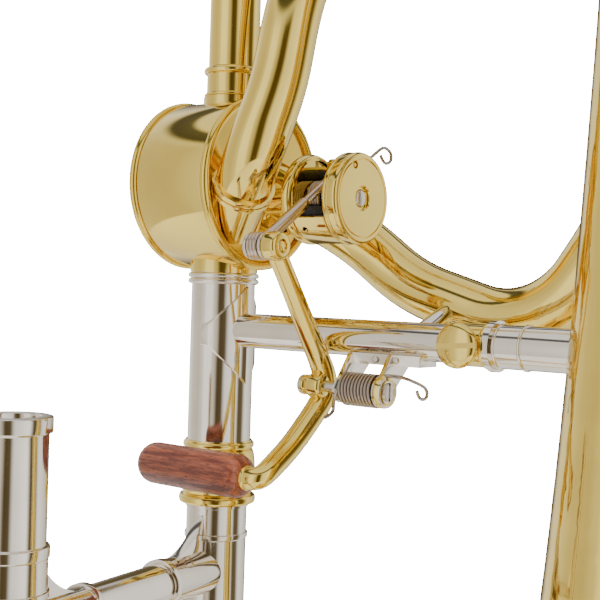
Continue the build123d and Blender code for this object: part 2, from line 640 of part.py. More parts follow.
with BuildPart() as valve_front_plate:
    with BuildSketch(along_x(DRUM_FRONT, 0, VALVE_Z)):
        Circle(DRUM_R)
    extrude(amount=PLATE)
    with BuildSketch(Plane(origin=(0, 0, VALVE_Z), x_dir=(1, 0, 0), z_dir=(0, -1, 0))):
        with Locations((DRUM_FRONT + BEAD_R, DRUM_R - BEAD_R + 0.8)):
            Circle(BEAD_R)
    revolve(axis=Axis((0, 0, VALVE_Z), (1, 0, 0)))
    with BuildSketch(along_x(DRUM_FRONT, 0, 0)):
        with Locations((0, ROTOR_Z)):
            Circle(SPINDLE_R + RUN)
        with Locations(*PORTS):
            Circle(PORT_R - 1)
    extrude(amount=PLATE, mode=Mode.SUBTRACT)
valve_front_plate.part.label = "valve_front_plate"
export_step(valve_front_plate.part, "parts/valve_front_plate.step")

with BuildPart() as valve_back_cap:
    with BuildSketch(along_x(DRUM_BACK - GAP, 0, VALVE_Z)):
        Circle(DRUM_R)
    extrude(amount=-PLATE)
    with BuildSketch(Plane(origin=(0, 0, VALVE_Z), x_dir=(1, 0, 0), z_dir=(0, -1, 0))):
        with Locations((DRUM_BACK - GAP - BEAD_R, DRUM_R - BEAD_R + 0.8)):
            Circle(BEAD_R)
    revolve(axis=Axis((0, 0, VALVE_Z), (1, 0, 0)))
    with BuildSketch(along_x(DRUM_BACK - GAP - PLATE, 0, VALVE_Z)):
        Circle(DRUM_R - 6)
    extrude(amount=-1.6)
    fillet(valve_back_cap.faces().filter_by(Axis.X).sort_by(Axis.X)[0].edges(), 1.2)
valve_back_cap.part.label = "valve_back_cap"
export_step(valve_back_cap.part, "parts/valve_back_cap.step")

with BuildPart() as rotor:
    with BuildSketch(along_x(ROTOR_BACK, 0, ROTOR_Z)):
        Circle(ROTOR_R)
    extrude(amount=ROTOR_FRONT - ROTOR_BACK)
    with BuildSketch(along_x(DRUM_BACK, 0, ROTOR_Z)):
        Circle(SPINDLE_R)
    extrude(amount=HOUSING_CAP - DRUM_BACK - 1.2)
    with BuildSketch(Plane.XY.offset(ROTOR_Z - 30)):
        Circle(PORT_R)
    extrude(amount=60, mode=Mode.SUBTRACT)
    for port_y, port_z in PORTS:
        elbow = Plane(origin=(ROTOR_FRONT - 9.2, port_y, port_z), x_dir=(1, 0, 0), z_dir=(0, port_y, 0))
        with BuildSketch(elbow):
            Circle(1.5)
        extrude(amount=20, mode=Mode.SUBTRACT)
rotor.part.label = "rotor"
export_step(rotor.part, "parts/rotor.step")

with BuildPart() as rotor_bearings:
    for bearing_x in (DRUM_BACK, ROTOR_FRONT + RUN):
        with BuildSketch(along_x(bearing_x, 0, ROTOR_Z)):
            Circle(ROTOR_R + RUN)
            Circle(SPINDLE_R + RUN, mode=Mode.SUBTRACT)
            if bearing_x > 0:
                with Locations((-PORT_Y, -PORT_Z), (PORT_Y, PORT_Z)):
                    Circle(PORT_R - 1, mode=Mode.SUBTRACT)
        extrude(amount=DRUM_FRONT - ROTOR_FRONT - RUN)
rotor_bearings.part.label = "rotor_bearings"
export_step(rotor_bearings.part, "parts/rotor_bearings.step")

# short collars brazed on the drum where the two main tubes meet it
with BuildPart() as drum_saddles:
    with BuildSketch(Plane.XY.offset(NECK_TOP)):
        Circle(NECK_R + 0.6)
        Circle(PORT_R, mode=Mode.SUBTRACT)
    extrude(amount=20)
    with BuildSketch(Plane.XY.offset(VALVE_Z)):
        with Locations((UPPER_X, 0)):
            Circle(UPPER_R + 1.2)
            Circle(UPPER_R, mode=Mode.SUBTRACT)
    extrude(amount=COLLAR_TOP - VALVE_Z)
    with BuildSketch(along_x(DRUM_BACK - 20, 0, VALVE_Z)):
        Circle(DRUM_R)
    extrude(amount=60, mode=Mode.SUBTRACT)
drum_saddles.part.label = "drum_saddles"
export_step(drum_saddles.part, "parts/drum_saddles.step")

with BuildPart() as gooseneck_tube:
    with BuildSketch(Plane.XY.offset(VALVE_Z)):
        with Locations((UPPER_X, 0)):
            Circle(UPPER_R)
            Circle(PORT_R, mode=Mode.SUBTRACT)
    extrude(amount=GOOSENECK_TOP - VALVE_Z)
    with BuildSketch(along_x(-30, 0, VALVE_Z)):
        Circle(DRUM_R)
    extrude(amount=60, mode=Mode.SUBTRACT)
gooseneck_tube.part.label = "gooseneck_tube"
export_step(gooseneck_tube.part, "parts/gooseneck_tube.step")

with BuildPart() as gooseneck_ferrule:
    with BuildSketch(Plane.XY.offset(COLLAR_TOP)):
        with Locations((UPPER_X, 0)):
            Circle(UPPER_R + 0.5)
            Circle(UPPER_R, mode=Mode.SUBTRACT)
    extrude(amount=9.0)
    with BuildSketch(Plane.XY.offset(COLLAR_TOP + 7.0)):
        with Locations((UPPER_X, 0)):
            Circle(UPPER_R + 1.0)
            Circle(UPPER_R, mode=Mode.SUBTRACT)
    extrude(amount=1.8)
gooseneck_ferrule.part.label = "gooseneck_ferrule"
export_step(gooseneck_ferrule.part, "parts/gooseneck_ferrule.step")

# the stop housing stands off the front plate on a hollow stem; its wall has a window on the link's side
WINDOW_FROM, WINDOW_MID, WINDOW_TO = [
    (1.2 * HOUSING_R * cos(radians(angle)), 1.2 * HOUSING_R * sin(radians(angle)))
    for angle in (WINDOW_START, (WINDOW_START + WINDOW_END) / 2, WINDOW_END)
]
with BuildPart() as stop_housing:
    with BuildSketch(along_x(FACE_X, 0, ROTOR_Z)):
        Circle(STEM_R)
    extrude(amount=HOUSING_BACK - FACE_X)
    with BuildSketch(along_x(HOUSING_BACK, 0, ROTOR_Z)):
        Circle(HOUSING_R)
    extrude(amount=FLANGE)
    with BuildSketch(along_x(HOUSING_BACK + FLANGE, 0, ROTOR_Z)):
        Circle(HOUSING_R)
        Circle(HOUSING_R - HOUSING_WALL, mode=Mode.SUBTRACT)
        with BuildLine():
            Line((0, 0), WINDOW_FROM)
            ThreePointArc(WINDOW_FROM, WINDOW_MID, WINDOW_TO)
            Line(WINDOW_TO, (0, 0))
        make_face(mode=Mode.SUBTRACT)
    extrude(amount=HOUSING_FRONT - HOUSING_BACK - FLANGE - GAP)
    with BuildSketch(along_x(FACE_X - 1, 0, ROTOR_Z)):
        Circle(SPINDLE_R + RUN)
    extrude(amount=HOUSING_FRONT, mode=Mode.SUBTRACT)
stop_housing.part.label = "stop_housing"
export_step(stop_housing.part, "parts/stop_housing.step")

with BuildPart() as housing_cap:
    with BuildSketch(along_x(HOUSING_FRONT, 0, ROTOR_Z)):
        Circle(HOUSING_R)
    extrude(amount=CAP_THICK)
    fillet(housing_cap.faces().filter_by(Axis.X).edges(), 1.0)
    with BuildSketch(along_x(HOUSING_CAP - 0.4, 0, ROTOR_Z)):
        Circle(HOUSING_R - 2.0)
        Circle(HOUSING_R - 2.5, mode=Mode.SUBTRACT)
    extrude(amount=1, mode=Mode.SUBTRACT)
    with BuildSketch(along_x(HOUSING_FRONT - 1, 0, ROTOR_Z)):
        Circle(SPINDLE_R + RUN)
    extrude(amount=CAP_THICK + 2, mode=Mode.SUBTRACT)
housing_cap.part.label = "housing_cap"
export_step(housing_cap.part, "parts/housing_cap.step")

ARM_Y = ARM_REACH * cos(radians(ARM_START))
ARM_UP = ARM_REACH * sin(radians(ARM_START))
with BuildPart() as stop_arm:
    with BuildSketch(along_x(ARM_X, 0, ROTOR_Z)):
        Circle(4.4)
        with Locations((ARM_Y / 2, ARM_UP / 2)):
            Rectangle(3.6, ARM_REACH, rotation=ARM_START - 90)
        with Locations((ARM_Y, ARM_UP)):
            Circle(1.8)
        Circle(SPINDLE_R, mode=Mode.SUBTRACT)
    extrude(amount=ARM_THICK)
stop_arm.part.label = "stop_arm"
export_step(stop_arm.part, "parts/stop_arm.step")

# rubber stops on the back flange: the arm meets one at each end of its quarter turn
BUMPER_AT = (ARM_START - 30, ARM_START + 90 + 30)
with BuildPart() as stop_bumpers:
    with BuildSketch(along_x(HOUSING_BACK + FLANGE, 0, ROTOR_Z)):
        for angle in BUMPER_AT:
            with Locations((7.6 * cos(radians(angle)), 7.6 * sin(radians(angle)))):
                Circle(1.9)
    extrude(amount=ARM_X + ARM_THICK - HOUSING_BACK - FLANGE)
stop_bumpers.part.label = "stop_bumpers"
export_step(stop_bumpers.part, "parts/stop_bumpers.step")

# ------------------------------------------------------------------ valve tubing
UPPER_ROUTE = [
    (FACE_X, -PORT_Y, ROTOR_Z - PORT_Z),
    (26.5, -18.5, VALVE_Z + 6),
    (F_LEFT_X, -12.5, VALVE_Z + 26),
    (F_LEFT_X, -6.5, VALVE_Z + 52),
    (F_LEFT_X, F_Y, VALVE_Z + 108),
    (F_LEFT_X, F_Y, F_LEG_BOTTOM),
]
UPPER_BENDS = [20, 90, 90, 90]
LOWER_ROUTE = [
    (FACE_X, PORT_Y, ROTOR_Z + PORT_Z),
    (33, 23, VALVE_Z - 14.5),
    (52, F_Y, VALVE_Z - 29),
    (94, F_Y, VALVE_Z - 41.5),
    (F_RIGHT_X, F_Y, VALVE_Z - 6),
    (F_RIGHT_X, F_Y, F_LEG_BOTTOM),
]
LOWER_BENDS = [45, 50, 28, 50]
with BuildPart() as f_upper_tube:
    with BuildLine() as upper_run:
        FilletPolyline(*UPPER_ROUTE, radius=UPPER_BENDS)
    with BuildSketch(Plane(origin=upper_run.line @ 0, z_dir=upper_run.line % 0)):
        Circle(F_R)
        Circle(F_R - TUBE_WALL, mode=Mode.SUBTRACT)
    sweep(path=upper_run.line)
    with BuildSketch(along_x(FACE_X - 20, 0, VALVE_Z)):
        Circle(DRUM_R + 5)
    extrude(amount=20, mode=Mode.SUBTRACT)
f_upper_tube.part.label = "f_upper_tube"
export_step(f_upper_tube.part, "parts/f_upper_tube.step")

with BuildPart() as f_lower_tube:
    with BuildLine() as lower_run:
        FilletPolyline(*LOWER_ROUTE, radius=LOWER_BENDS)
    with BuildSketch(Plane(origin=lower_run.line @ 0, z_dir=lower_run.line % 0)):
        Circle(F_R)
        Circle(F_R - TUBE_WALL, mode=Mode.SUBTRACT)
    sweep(path=lower_run.line)
    with BuildSketch(along_x(FACE_X - 20, 0, VALVE_Z)):
        Circle(DRUM_R + 5)
    extrude(amount=20, mode=Mode.SUBTRACT)
f_lower_tube.part.label = "f_lower_tube"
export_step(f_lower_tube.part, "parts/f_lower_tube.step")

with BuildPart() as f_sleeves:
    for line in (upper_run.line, lower_run.line):
        root = Plane(origin=line @ 0, z_dir=line % 0)
        with BuildSketch(root.offset(-6)):
            Circle(F_R + SLEEVE_WALL)
            Circle(F_R, mode=Mode.SUBTRACT)
        extrude(amount=SLEEVE_LENGTH + 6)
        for bead_at in (SLEEVE_LENGTH - 3.4, SLEEVE_LENGTH - 1.5):
            with BuildSketch(root.offset(bead_at)):
                Circle(F_R + SLEEVE_WALL + 0.5)
                Circle(F_R, mode=Mode.SUBTRACT)
            extrude(amount=1.4)
    with BuildSketch(along_x(FACE_X - 30, 0, VALVE_Z)):
        Circle(DRUM_R + 25)
    extrude(amount=30, mode=Mode.SUBTRACT)
    with BuildSketch(along_x(FACE_X, 0, ROTOR_Z)):
        Circle(STEM_R)
    extrude(amount=HOUSING_BACK - FACE_X, mode=Mode.SUBTRACT)
    with BuildSketch(Plane(origin=(0, 0, VALVE_Z), x_dir=(1, 0, 0), z_dir=(0, -1, 0))):
        with Locations((DRUM_FRONT + BEAD_R, DRUM_R - BEAD_R + 0.8)):
            Circle(BEAD_R)
    revolve(axis=Axis((0, 0, VALVE_Z), (1, 0, 0)), mode=Mode.SUBTRACT)
f_sleeves.part.label = "f_sleeves"
export_step(f_sleeves.part, "parts/f_sleeves.step")

F_LEGS = [(F_LEFT_X, F_Y), (F_RIGHT_X, F_Y)]
with BuildPart() as f_slide_legs:
    with BuildSketch(Plane.XY.offset(F_LEG_BOTTOM)):
        with Locations(*F_LEGS):
            Circle(F_LEG_R)
            Circle(F_LEG_BORE, mode=Mode.SUBTRACT)
    extrude(amount=F_LEG_TOP - F_LEG_BOTTOM)
    for bead_z in (F_LEG_BOTTOM, F_LEG_BOTTOM + 4, F_LEG_TOP - 5):
        with BuildSketch(Plane.XY.offset(bead_z)):
            with Locations(*F_LEGS):
                Circle(F_LEG_R + 0.8)
                Circle(F_LEG_R - 0.2, mode=Mode.SUBTRACT)
        extrude(amount=2.0)
f_slide_legs.part.label = "f_slide_legs"
export_step(f_slide_legs.part, "parts/f_slide_legs.step")

with BuildPart() as f_bow_legs:
    with BuildSketch(Plane.XY.offset(F_LEG_TOP - F_BOW_LEG_DEPTH)):
        with Locations(*F_LEGS):
            Circle(F_BOW_LEG_R)
            Circle(F_BOW_LEG_R - TUBE_WALL, mode=Mode.SUBTRACT)
    extrude(amount=F_BOW_Z - F_LEG_TOP + F_BOW_LEG_DEPTH)
    with BuildSketch(Plane.XY.offset(F_LEG_TOP + 1)):
        with Locations(*F_LEGS):
            Circle(F_LEG_R + 0.5)
            Circle(F_BOW_LEG_R, mode=Mode.SUBTRACT)
    extrude(amount=F_BOW_Z - F_LEG_TOP - 1)
f_bow_legs.part.label = "f_bow_legs"
export_step(f_bow_legs.part, "parts/f_bow_legs.step")

with BuildPart() as f_bow:
    with BuildLine(Plane(origin=(0, F_Y, 0), x_dir=(1, 0, 0), z_dir=(0, -1, 0))) as f_arch:
        ThreePointArc((F_LEFT_X, F_BOW_Z), (F_LEFT_X + F_BOW_R, F_BOW_Z + F_BOW_R), (F_RIGHT_X, F_BOW_Z))
    with BuildSketch(Plane(origin=(F_LEFT_X, F_Y, F_BOW_Z), z_dir=(0, 0, 1))):
        Circle(F_LEG_R)
        Circle(F_LEG_R - TUBE_WALL, mode=Mode.SUBTRACT)
    sweep(path=f_arch.line)
f_bow.part.label = "f_bow"
export_step(f_bow.part, "parts/f_bow.step")

# ------------------------------------------------------------------ main tuning slide and bell
MAIN_LEGS = [(UPPER_X, 0), (BELL_X, 0)]
with BuildPart() as tuning_legs:
    with BuildSketch(Plane.XY.offset(GOOSENECK_TOP)):
        with Locations(*MAIN_LEGS):
            Circle(LEG_R)
            Circle(LEG_BORE, mode=Mode.SUBTRACT)
    extrude(amount=LEG_TOP - GOOSENECK_TOP)
    for bead_z in (GOOSENECK_TOP + 4, LEG_TOP - 5):
        with BuildSketch(Plane.XY.offset(bead_z)):
            with Locations(*MAIN_LEGS):
                Circle(LEG_R + 0.8)
                Circle(LEG_R - 0.2, mode=Mode.SUBTRACT)
        extrude(amount=2.0)
tuning_legs.part.label = "tuning_legs"
export_step(tuning_legs.part, "parts/tuning_legs.step")

with BuildPart() as tuning_bow_legs:
    with BuildSketch(Plane.XY.offset(LEG_TOP - BOW_LEG_DEPTH)):
        with Locations(*MAIN_LEGS):
            Circle(BOW_LEG_R)
            Circle(BOW_LEG_R - TUBE_WALL, mode=Mode.SUBTRACT)
    extrude(amount=MAIN_BOW_Z - LEG_TOP + BOW_LEG_DEPTH)
    with BuildSketch(Plane.XY.offset(LEG_TOP + 1)):
        with Locations(*MAIN_LEGS):
            Circle(LEG_R + 0.5)
            Circle(BOW_LEG_R, mode=Mode.SUBTRACT)
    extrude(amount=MAIN_BOW_Z - LEG_TOP - 1)
tuning_bow_legs.part.label = "tuning_bow_legs"
export_step(tuning_bow_legs.part, "parts/tuning_bow_legs.step")

with BuildPart() as tuning_bow:
    with BuildLine(Plane.XZ) as main_arch:
        ThreePointArc((UPPER_X, MAIN_BOW_Z), (UPPER_X + MAIN_BOW_R, MAIN_BOW_Z + MAIN_BOW_R),
                      (BELL_X, MAIN_BOW_Z))
    with BuildSketch(Plane(origin=(UPPER_X, 0, MAIN_BOW_Z), z_dir=(0, 0, 1))):
        Circle(LEG_R)
        Circle(LEG_R - TUBE_WALL, mode=Mode.SUBTRACT)
    sweep(path=main_arch.line)
tuning_bow.part.label = "tuning_bow"
export_step(tuning_bow.part, "parts/tuning_bow.step")

# cross stays, each saddled on the two tubes that it joins
with BuildPart() as tuning_bow_stay:
    with BuildSketch(along_x(UPPER_X, 0, LEG_TOP + 7)):
        Circle(STAY_R)
    extrude(amount=BELL_X - UPPER_X)
    with BuildSketch(Plane.XY.offset(LEG_TOP)):
        with Locations(*MAIN_LEGS):
            Circle(LEG_R + 0.5)
    extrude(amount=14, mode=Mode.SUBTRACT)
tuning_bow_stay.part.label = "tuning_bow_stay"
export_step(tuning_bow_stay.part, "parts/tuning_bow_stay.step")

with BuildPart() as f_bow_stay:
    with BuildSketch(along_x(F_LEFT_X, F_Y, F_LEG_TOP + 8)):
        Circle(STAY_R)
    extrude(amount=F_RIGHT_X - F_LEFT_X)
    with BuildSketch(Plane.XY.offset(F_LEG_TOP)):
        with Locations(*F_LEGS):
            Circle(F_LEG_R + 0.5)
    extrude(amount=16, mode=Mode.SUBTRACT)
f_bow_stay.part.label = "f_bow_stay"
export_step(f_bow_stay.part, "parts/f_bow_stay.step")

UPPER_STAY_Z = GOOSENECK_TOP + 20
with BuildPart() as upper_stay:
    with BuildSketch(along_x(UPPER_X, 0, UPPER_STAY_Z)):
        Circle(STAY_R)
    extrude(amount=BELL_X - UPPER_X)
    with BuildSketch(Plane.XY.offset(UPPER_STAY_Z - 10)):
        with Locations(*MAIN_LEGS):
            Circle(LEG_R)
    extrude(amount=20, mode=Mode.SUBTRACT)
upper_stay.part.label = "upper_stay"
export_step(upper_stay.part, "parts/upper_stay.step")

F_STAY_Z = F_LEG_BOTTOM + 14
POST_X = 68.0
POST_RISE = 10.2           # the post climbs this much from the brace's axis to the valve tube's
POST_R = 2.6
with BuildPart() as f_loop_stays:
    for (main_x, main_y), (loop_x, loop_y) in zip(MAIN_LEGS, F_LEGS):
        reach = sqrt((loop_x - main_x) ** 2 + (loop_y - main_y) ** 2)
        with BuildSketch(Plane(origin=(main_x, main_y, F_STAY_Z), x_dir=(0, 0, 1),
                               z_dir=(loop_x - main_x, loop_y - main_y, 0))):
            Circle(STAY_R - 0.6)
        extrude(amount=reach)
    with BuildSketch(Plane.XY.offset(F_STAY_Z - 10)):
        with Locations(*MAIN_LEGS):
            Circle(LEG_R)
        with Locations(*F_LEGS):
            Circle(F_LEG_R)
    extrude(amount=20, mode=Mode.SUBTRACT)
    with BuildSketch(Plane(origin=(POST_X, 0, BB_Z), x_dir=(1, 0, 0), z_dir=(0, F_Y, POST_RISE))):
        Circle(POST_R)
    extrude(amount=F_Y)
    with BuildSketch(along_x(POST_X - 20, 0, BB_Z)):
        Circle(BB_R)
    extrude(amount=40, mode=Mode.SUBTRACT)
    with BuildLine() as post_cut:
        FilletPolyline(*LOWER_ROUTE, radius=LOWER_BENDS)
    with BuildSketch(Plane(origin=post_cut.line @ 0, z_dir=post_cut.line % 0)):
        Circle(F_R)
    sweep(path=post_cut.line, mode=Mode.SUBTRACT)
f_loop_stays.part.label = "f_loop_stays"
export_step(f_loop_stays.part, "parts/f_loop_stays.step")

# the bell is spun in two pieces that are brazed together at a ring seam
BELL_DEPTHS = [0, 4, 12, 25, 45, 75, 120, 180, 260, 340, BELL_LENGTH]
BELL_SEAM = 75.0
SEAM_PLANE = Plane.XY.offset(BELL_RIM_Z + BELL_SEAM)
with BuildSketch(Plane.XZ) as bell_section:
    outer = [(BELL_X + bell_radius(d), BELL_RIM_Z + d) for d in BELL_DEPTHS]
    inner = [(BELL_X + bell_radius(d + 0.5) - BELL_WALL, BELL_RIM_Z + d) for d in BELL_DEPTHS]
    with BuildLine():
        Spline(*outer)
        Line(outer[-1], inner[-1])
        Spline(*reversed(inner))
        Line(inner[0], outer[0])
    make_face()

with BuildPart() as bell_flare:
    revolve(bell_section.sketch, axis=Axis((BELL_X, 0, 0), (0, 0, 1)))
    split(bisect_by=SEAM_PLANE, keep=Keep.BOTTOM)
bell_flare.part.label = "bell_flare"
export_step(bell_flare.part, "parts/bell_flare.step")

with BuildPart() as bell_stem:
    revolve(bell_section.sketch, axis=Axis((BELL_X, 0, 0), (0, 0, 1)))
    split(bisect_by=SEAM_PLANE, keep=Keep.TOP)
bell_stem.part.label = "bell_stem"
export_step(bell_stem.part, "parts/bell_stem.step")

with BuildPart() as bell_rim_wire:
    with BuildSketch(Plane.XZ):
        with Locations((BELL_X + bell_radius(0) + RIM_WIRE_R, BELL_RIM_Z)):
            Circle(RIM_WIRE_R)
    revolve(axis=Axis((BELL_X, 0, 0), (0, 0, 1)))
bell_rim_wire.part.label = "bell_rim_wire"
export_step(bell_rim_wire.part, "parts/bell_rim_wire.step")

BELL_TOP = BELL_RIM_Z + BELL_LENGTH
BELL_TOP_R = bell_radius(BELL_LENGTH)
with BuildPart() as bell_ferrule:
    with BuildSketch(Plane.XY.offset(BELL_TOP - 12)):
        with Locations((BELL_X, 0)):
            Circle(BELL_TOP_R + 1.2)
            Circle(bell_radius(BELL_LENGTH - 12) + 0.02, mode=Mode.SUBTRACT)
    extrude(amount=12)
    with BuildSketch(Plane.XY.offset(BELL_TOP)):
        with Locations((BELL_X, 0)):
            Circle(BELL_TOP_R + 1.2)
            Circle(LEG_R, mode=Mode.SUBTRACT)
    extrude(amount=3.0)
bell_ferrule.part.label = "bell_ferrule"
export_step(bell_ferrule.part, "parts/bell_ferrule.step")

# ------------------------------------------------------------------ thumb lever
with BuildPart() as lever:
    with BuildLine() as lever_run:
        FilletPolyline((LEVER_X, BALL_Y, BALL_Z), (LEVER_X, KNEE_Y, PIVOT_Z + KNEE_RISE),
                       (LEVER_X, KNEE_Y - 0.4, PIVOT_Z - KNEE_DROP), (LEVER_X, -18.0, PIVOT_Z - 15.8),
                       (LEVER_X, GRIP_Y, GRIP_Z), (GRIP_END - GRIP_HOLE, GRIP_Y, GRIP_Z),
                       radius=[6, 6, 20, 4.2])
    with BuildSketch(Plane(origin=lever_run.line @ 0, x_dir=(1, 0, 0), z_dir=lever_run.line % 0)):
        Ellipse(ROD_A, ROD_B)
    sweep(path=lever_run.line)
    with BuildSketch(along_x(LEVER_X - LEVER_HALF - 0.6, PIVOT_Y, PIVOT_Z)):
        Circle(BOSS_R)
    extrude(amount=2 * LEVER_HALF + 1.2)
    with BuildSketch(along_x(LEVER_X - LEVER_HALF, BALL_Y, BALL_Z)):
        Circle(BOSS_R - 0.4)
    extrude(amount=2 * LEVER_HALF)
    with BuildSketch(along_x(LEVER_X - 6, PIVOT_Y, PIVOT_Z)):
        Circle(PIVOT_R + RUN)
    extrude(amount=12, mode=Mode.SUBTRACT)
    with BuildSketch(along_x(LEVER_X - 6, BALL_Y, BALL_Z)):
        Circle(BALL_PIN_R)
    extrude(amount=12, mode=Mode.SUBTRACT)
    with BuildSketch(along_x(LEVER_X - 6, BALL_Y, BALL_Z)):
        Circle(BOSS_R)
    extrude(amount=6 - LEVER_HALF, mode=Mode.SUBTRACT)
lever.part.label = "lever"
export_step(lever.part, "parts/lever.step")

with BuildPart() as thumb_grip:
    with BuildSketch(Plane(origin=(0, GRIP_Y, GRIP_Z), x_dir=(1, 0, 0), z_dir=(0, -1, 0))):
        with BuildLine():
            Line((GRIP_START, 0), (GRIP_END, 0))
            Line((GRIP_END, 0), (GRIP_END, GRIP_R - 3.0))
            RadiusArc((GRIP_END, GRIP_R - 3.0), (GRIP_END - 3.0, GRIP_R), -3.0)
            Line((GRIP_END - 3.0, GRIP_R), (GRIP_START + 4.0, GRIP_R))
            RadiusArc((GRIP_START + 4.0, GRIP_R), (GRIP_START, GRIP_R - 4.0), -4.0)
            Line((GRIP_START, GRIP_R - 4.0), (GRIP_START, 0))
        make_face()
    revolve(axis=Axis((0, GRIP_Y, GRIP_Z), (1, 0, 0)))
    with BuildSketch(along_x(GRIP_END - GRIP_HOLE, GRIP_Y, GRIP_Z)):
        Circle(ROD_A + 0.1)
    extrude(amount=10, mode=Mode.SUBTRACT)
thumb_grip.part.label = "thumb_grip"
export_step(thumb_grip.part, "parts/thumb_grip.step")

with BuildPart() as ball_screw:
    with BuildSketch(along_x(LEVER_X - LEVER_HALF - 1.0, BALL_Y, BALL_Z)):
        Circle(3.7)
    extrude(amount=1.0)
    with BuildSketch(along_x(BALL_X - 3.0, BALL_Y, BALL_Z)):
        Circle(BALL_PIN_R)
    extrude(amount=LEVER_X - BALL_X + 3.0)
    with BuildSketch(along_x(BALL_X - 3.6, BALL_Y, BALL_Z)):
        Circle(3.0)
    extrude(amount=1.4)
ball_screw.part.label = "ball_screw"
export_step(ball_screw.part, "parts/ball_screw.step")

EYE_HALF = 1.0
PIN_POINT = (ARM_X + ARM_THICK + GAP + EYE_HALF, ARM_Y, ROTOR_Z + ARM_UP)
BALL_POINT = (BALL_X, BALL_Y, BALL_Z)
with BuildPart() as link_rod:
    with BuildSketch(along_x(BALL_X - 1.6, BALL_Y, BALL_Z)):
        Circle(3.0)
    extrude(amount=3.2)
    with BuildSketch(Plane(origin=BALL_POINT, z_dir=Vector(*PIN_POINT) - Vector(*BALL_POINT))):
        Circle(1.2)
    extrude(amount=(Vector(*PIN_POINT) - Vector(*BALL_POINT)).length)
    with BuildSketch(along_x(PIN_POINT[0] - EYE_HALF, ARM_Y, ROTOR_Z + ARM_UP)):
        Circle(2.2)
    extrude(amount=2 * EYE_HALF)
    with BuildSketch(along_x(PIN_POINT[0] - EYE_HALF, ARM_Y, ROTOR_Z + ARM_UP)):
        Circle(ARM_REACH)
    extrude(amount=-2, mode=Mode.SUBTRACT)
    with BuildSketch(along_x(BALL_X - 3.0, BALL_Y, BALL_Z)):
        Circle(BALL_PIN_R + RUN)
    extrude(amount=6.0, mode=Mode.SUBTRACT)
link_rod.part.label = "link_rod"
export_step(link_rod.part, "parts/link_rod.step")

with BuildPart() as lever_pivot:
    with BuildSketch(along_x(LEVER_X - LEVER_HALF - 2.0, PIVOT_Y, PIVOT_Z)):
        Circle(PIVOT_R)
    extrude(amount=LUG_END - LEVER_X + LEVER_HALF + 2.0)
    with BuildSketch(along_x(LEVER_X - LEVER_HALF - 3.4, PIVOT_Y, PIVOT_Z)):
        Circle(2.8)
    extrude(amount=1.8)
    with BuildSketch(along_x(LUG_END, PIVOT_Y, PIVOT_Z)):
        Circle(2.8)
    extrude(amount=0.8)
lever_pivot.part.label = "lever_pivot"
export_step(lever_pivot.part, "parts/lever_pivot.step")

# bracket: a base under the brace and two lugs that hold the pivot
with BuildPart() as lever_bracket:
    with BuildSketch(Plane.XY.offset(BB_Z - BB_R - 1.6)):
        with Locations(((LUG_LEFT + LUG_RIGHT + 10) / 2, 0)):
            Rectangle(LUG_RIGHT + 10 - LUG_LEFT, 8.6)
    extrude(amount=3.0)
    for lug_x in (LUG_LEFT, LUG_RIGHT):
        with BuildSketch(along_x(lug_x, 0, 0)):
            with BuildLine():
                Polyline((PIVOT_Y - LUG_R, PIVOT_Z), (-4.3, BB_Z - BB_R + 1.4), (4.3, BB_Z - BB_R + 1.4),
                         (4.3, BB_Z - BB_R - 1.6), (PIVOT_Y + LUG_R, PIVOT_Z - 0.5))
                ThreePointArc((PIVOT_Y + LUG_R, PIVOT_Z - 0.5), (PIVOT_Y, PIVOT_Z - LUG_R),
                              (PIVOT_Y - LUG_R, PIVOT_Z))
            make_face()
        extrude(amount=LUG_THICK)
    with BuildSketch(along_x(LUG_RIGHT, PIVOT_Y, PIVOT_Z)):
        Circle(LUG_BARREL_R)
    extrude(amount=LUG_END - LUG_RIGHT)
    with BuildSketch(along_x(LUG_LEFT - 5, 0, BB_Z)):
        Circle(BB_R)
    extrude(amount=60, mode=Mode.SUBTRACT)
    with BuildSketch(along_x(LUG_LEFT - 5, PIVOT_Y, PIVOT_Z)):
        Circle(PIVOT_R)
    extrude(amount=60, mode=Mode.SUBTRACT)
lever_bracket.part.label = "lever_bracket"
export_step(lever_bracket.part, "parts/lever_bracket.step")

with BuildPart() as lever_spring:
    with BuildSketch(along_x(LUG_LEFT + LUG_THICK, PIVOT_Y, PIVOT_Z)):
        Circle(SPRING_R)
        Circle(SPRING_R - SPRING_WIRE, mode=Mode.SUBTRACT)
    extrude(amount=LUG_RIGHT - LUG_LEFT - LUG_THICK)
lever_spring.part.label = "lever_spring"
export_step(lever_spring.part, "parts/lever_spring.step")
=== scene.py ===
"""Finished surfaces of a tenor trombone with a thumb valve, built round its measured frame."""
import json
from math import cos, pi, radians, sin

import bpy
from bpy.props import FloatProperty, FloatVectorProperty, IntProperty, PointerProperty
from bpy.types import Operator, Panel, PropertyGroup
from mathutils import Matrix, Quaternion, Vector

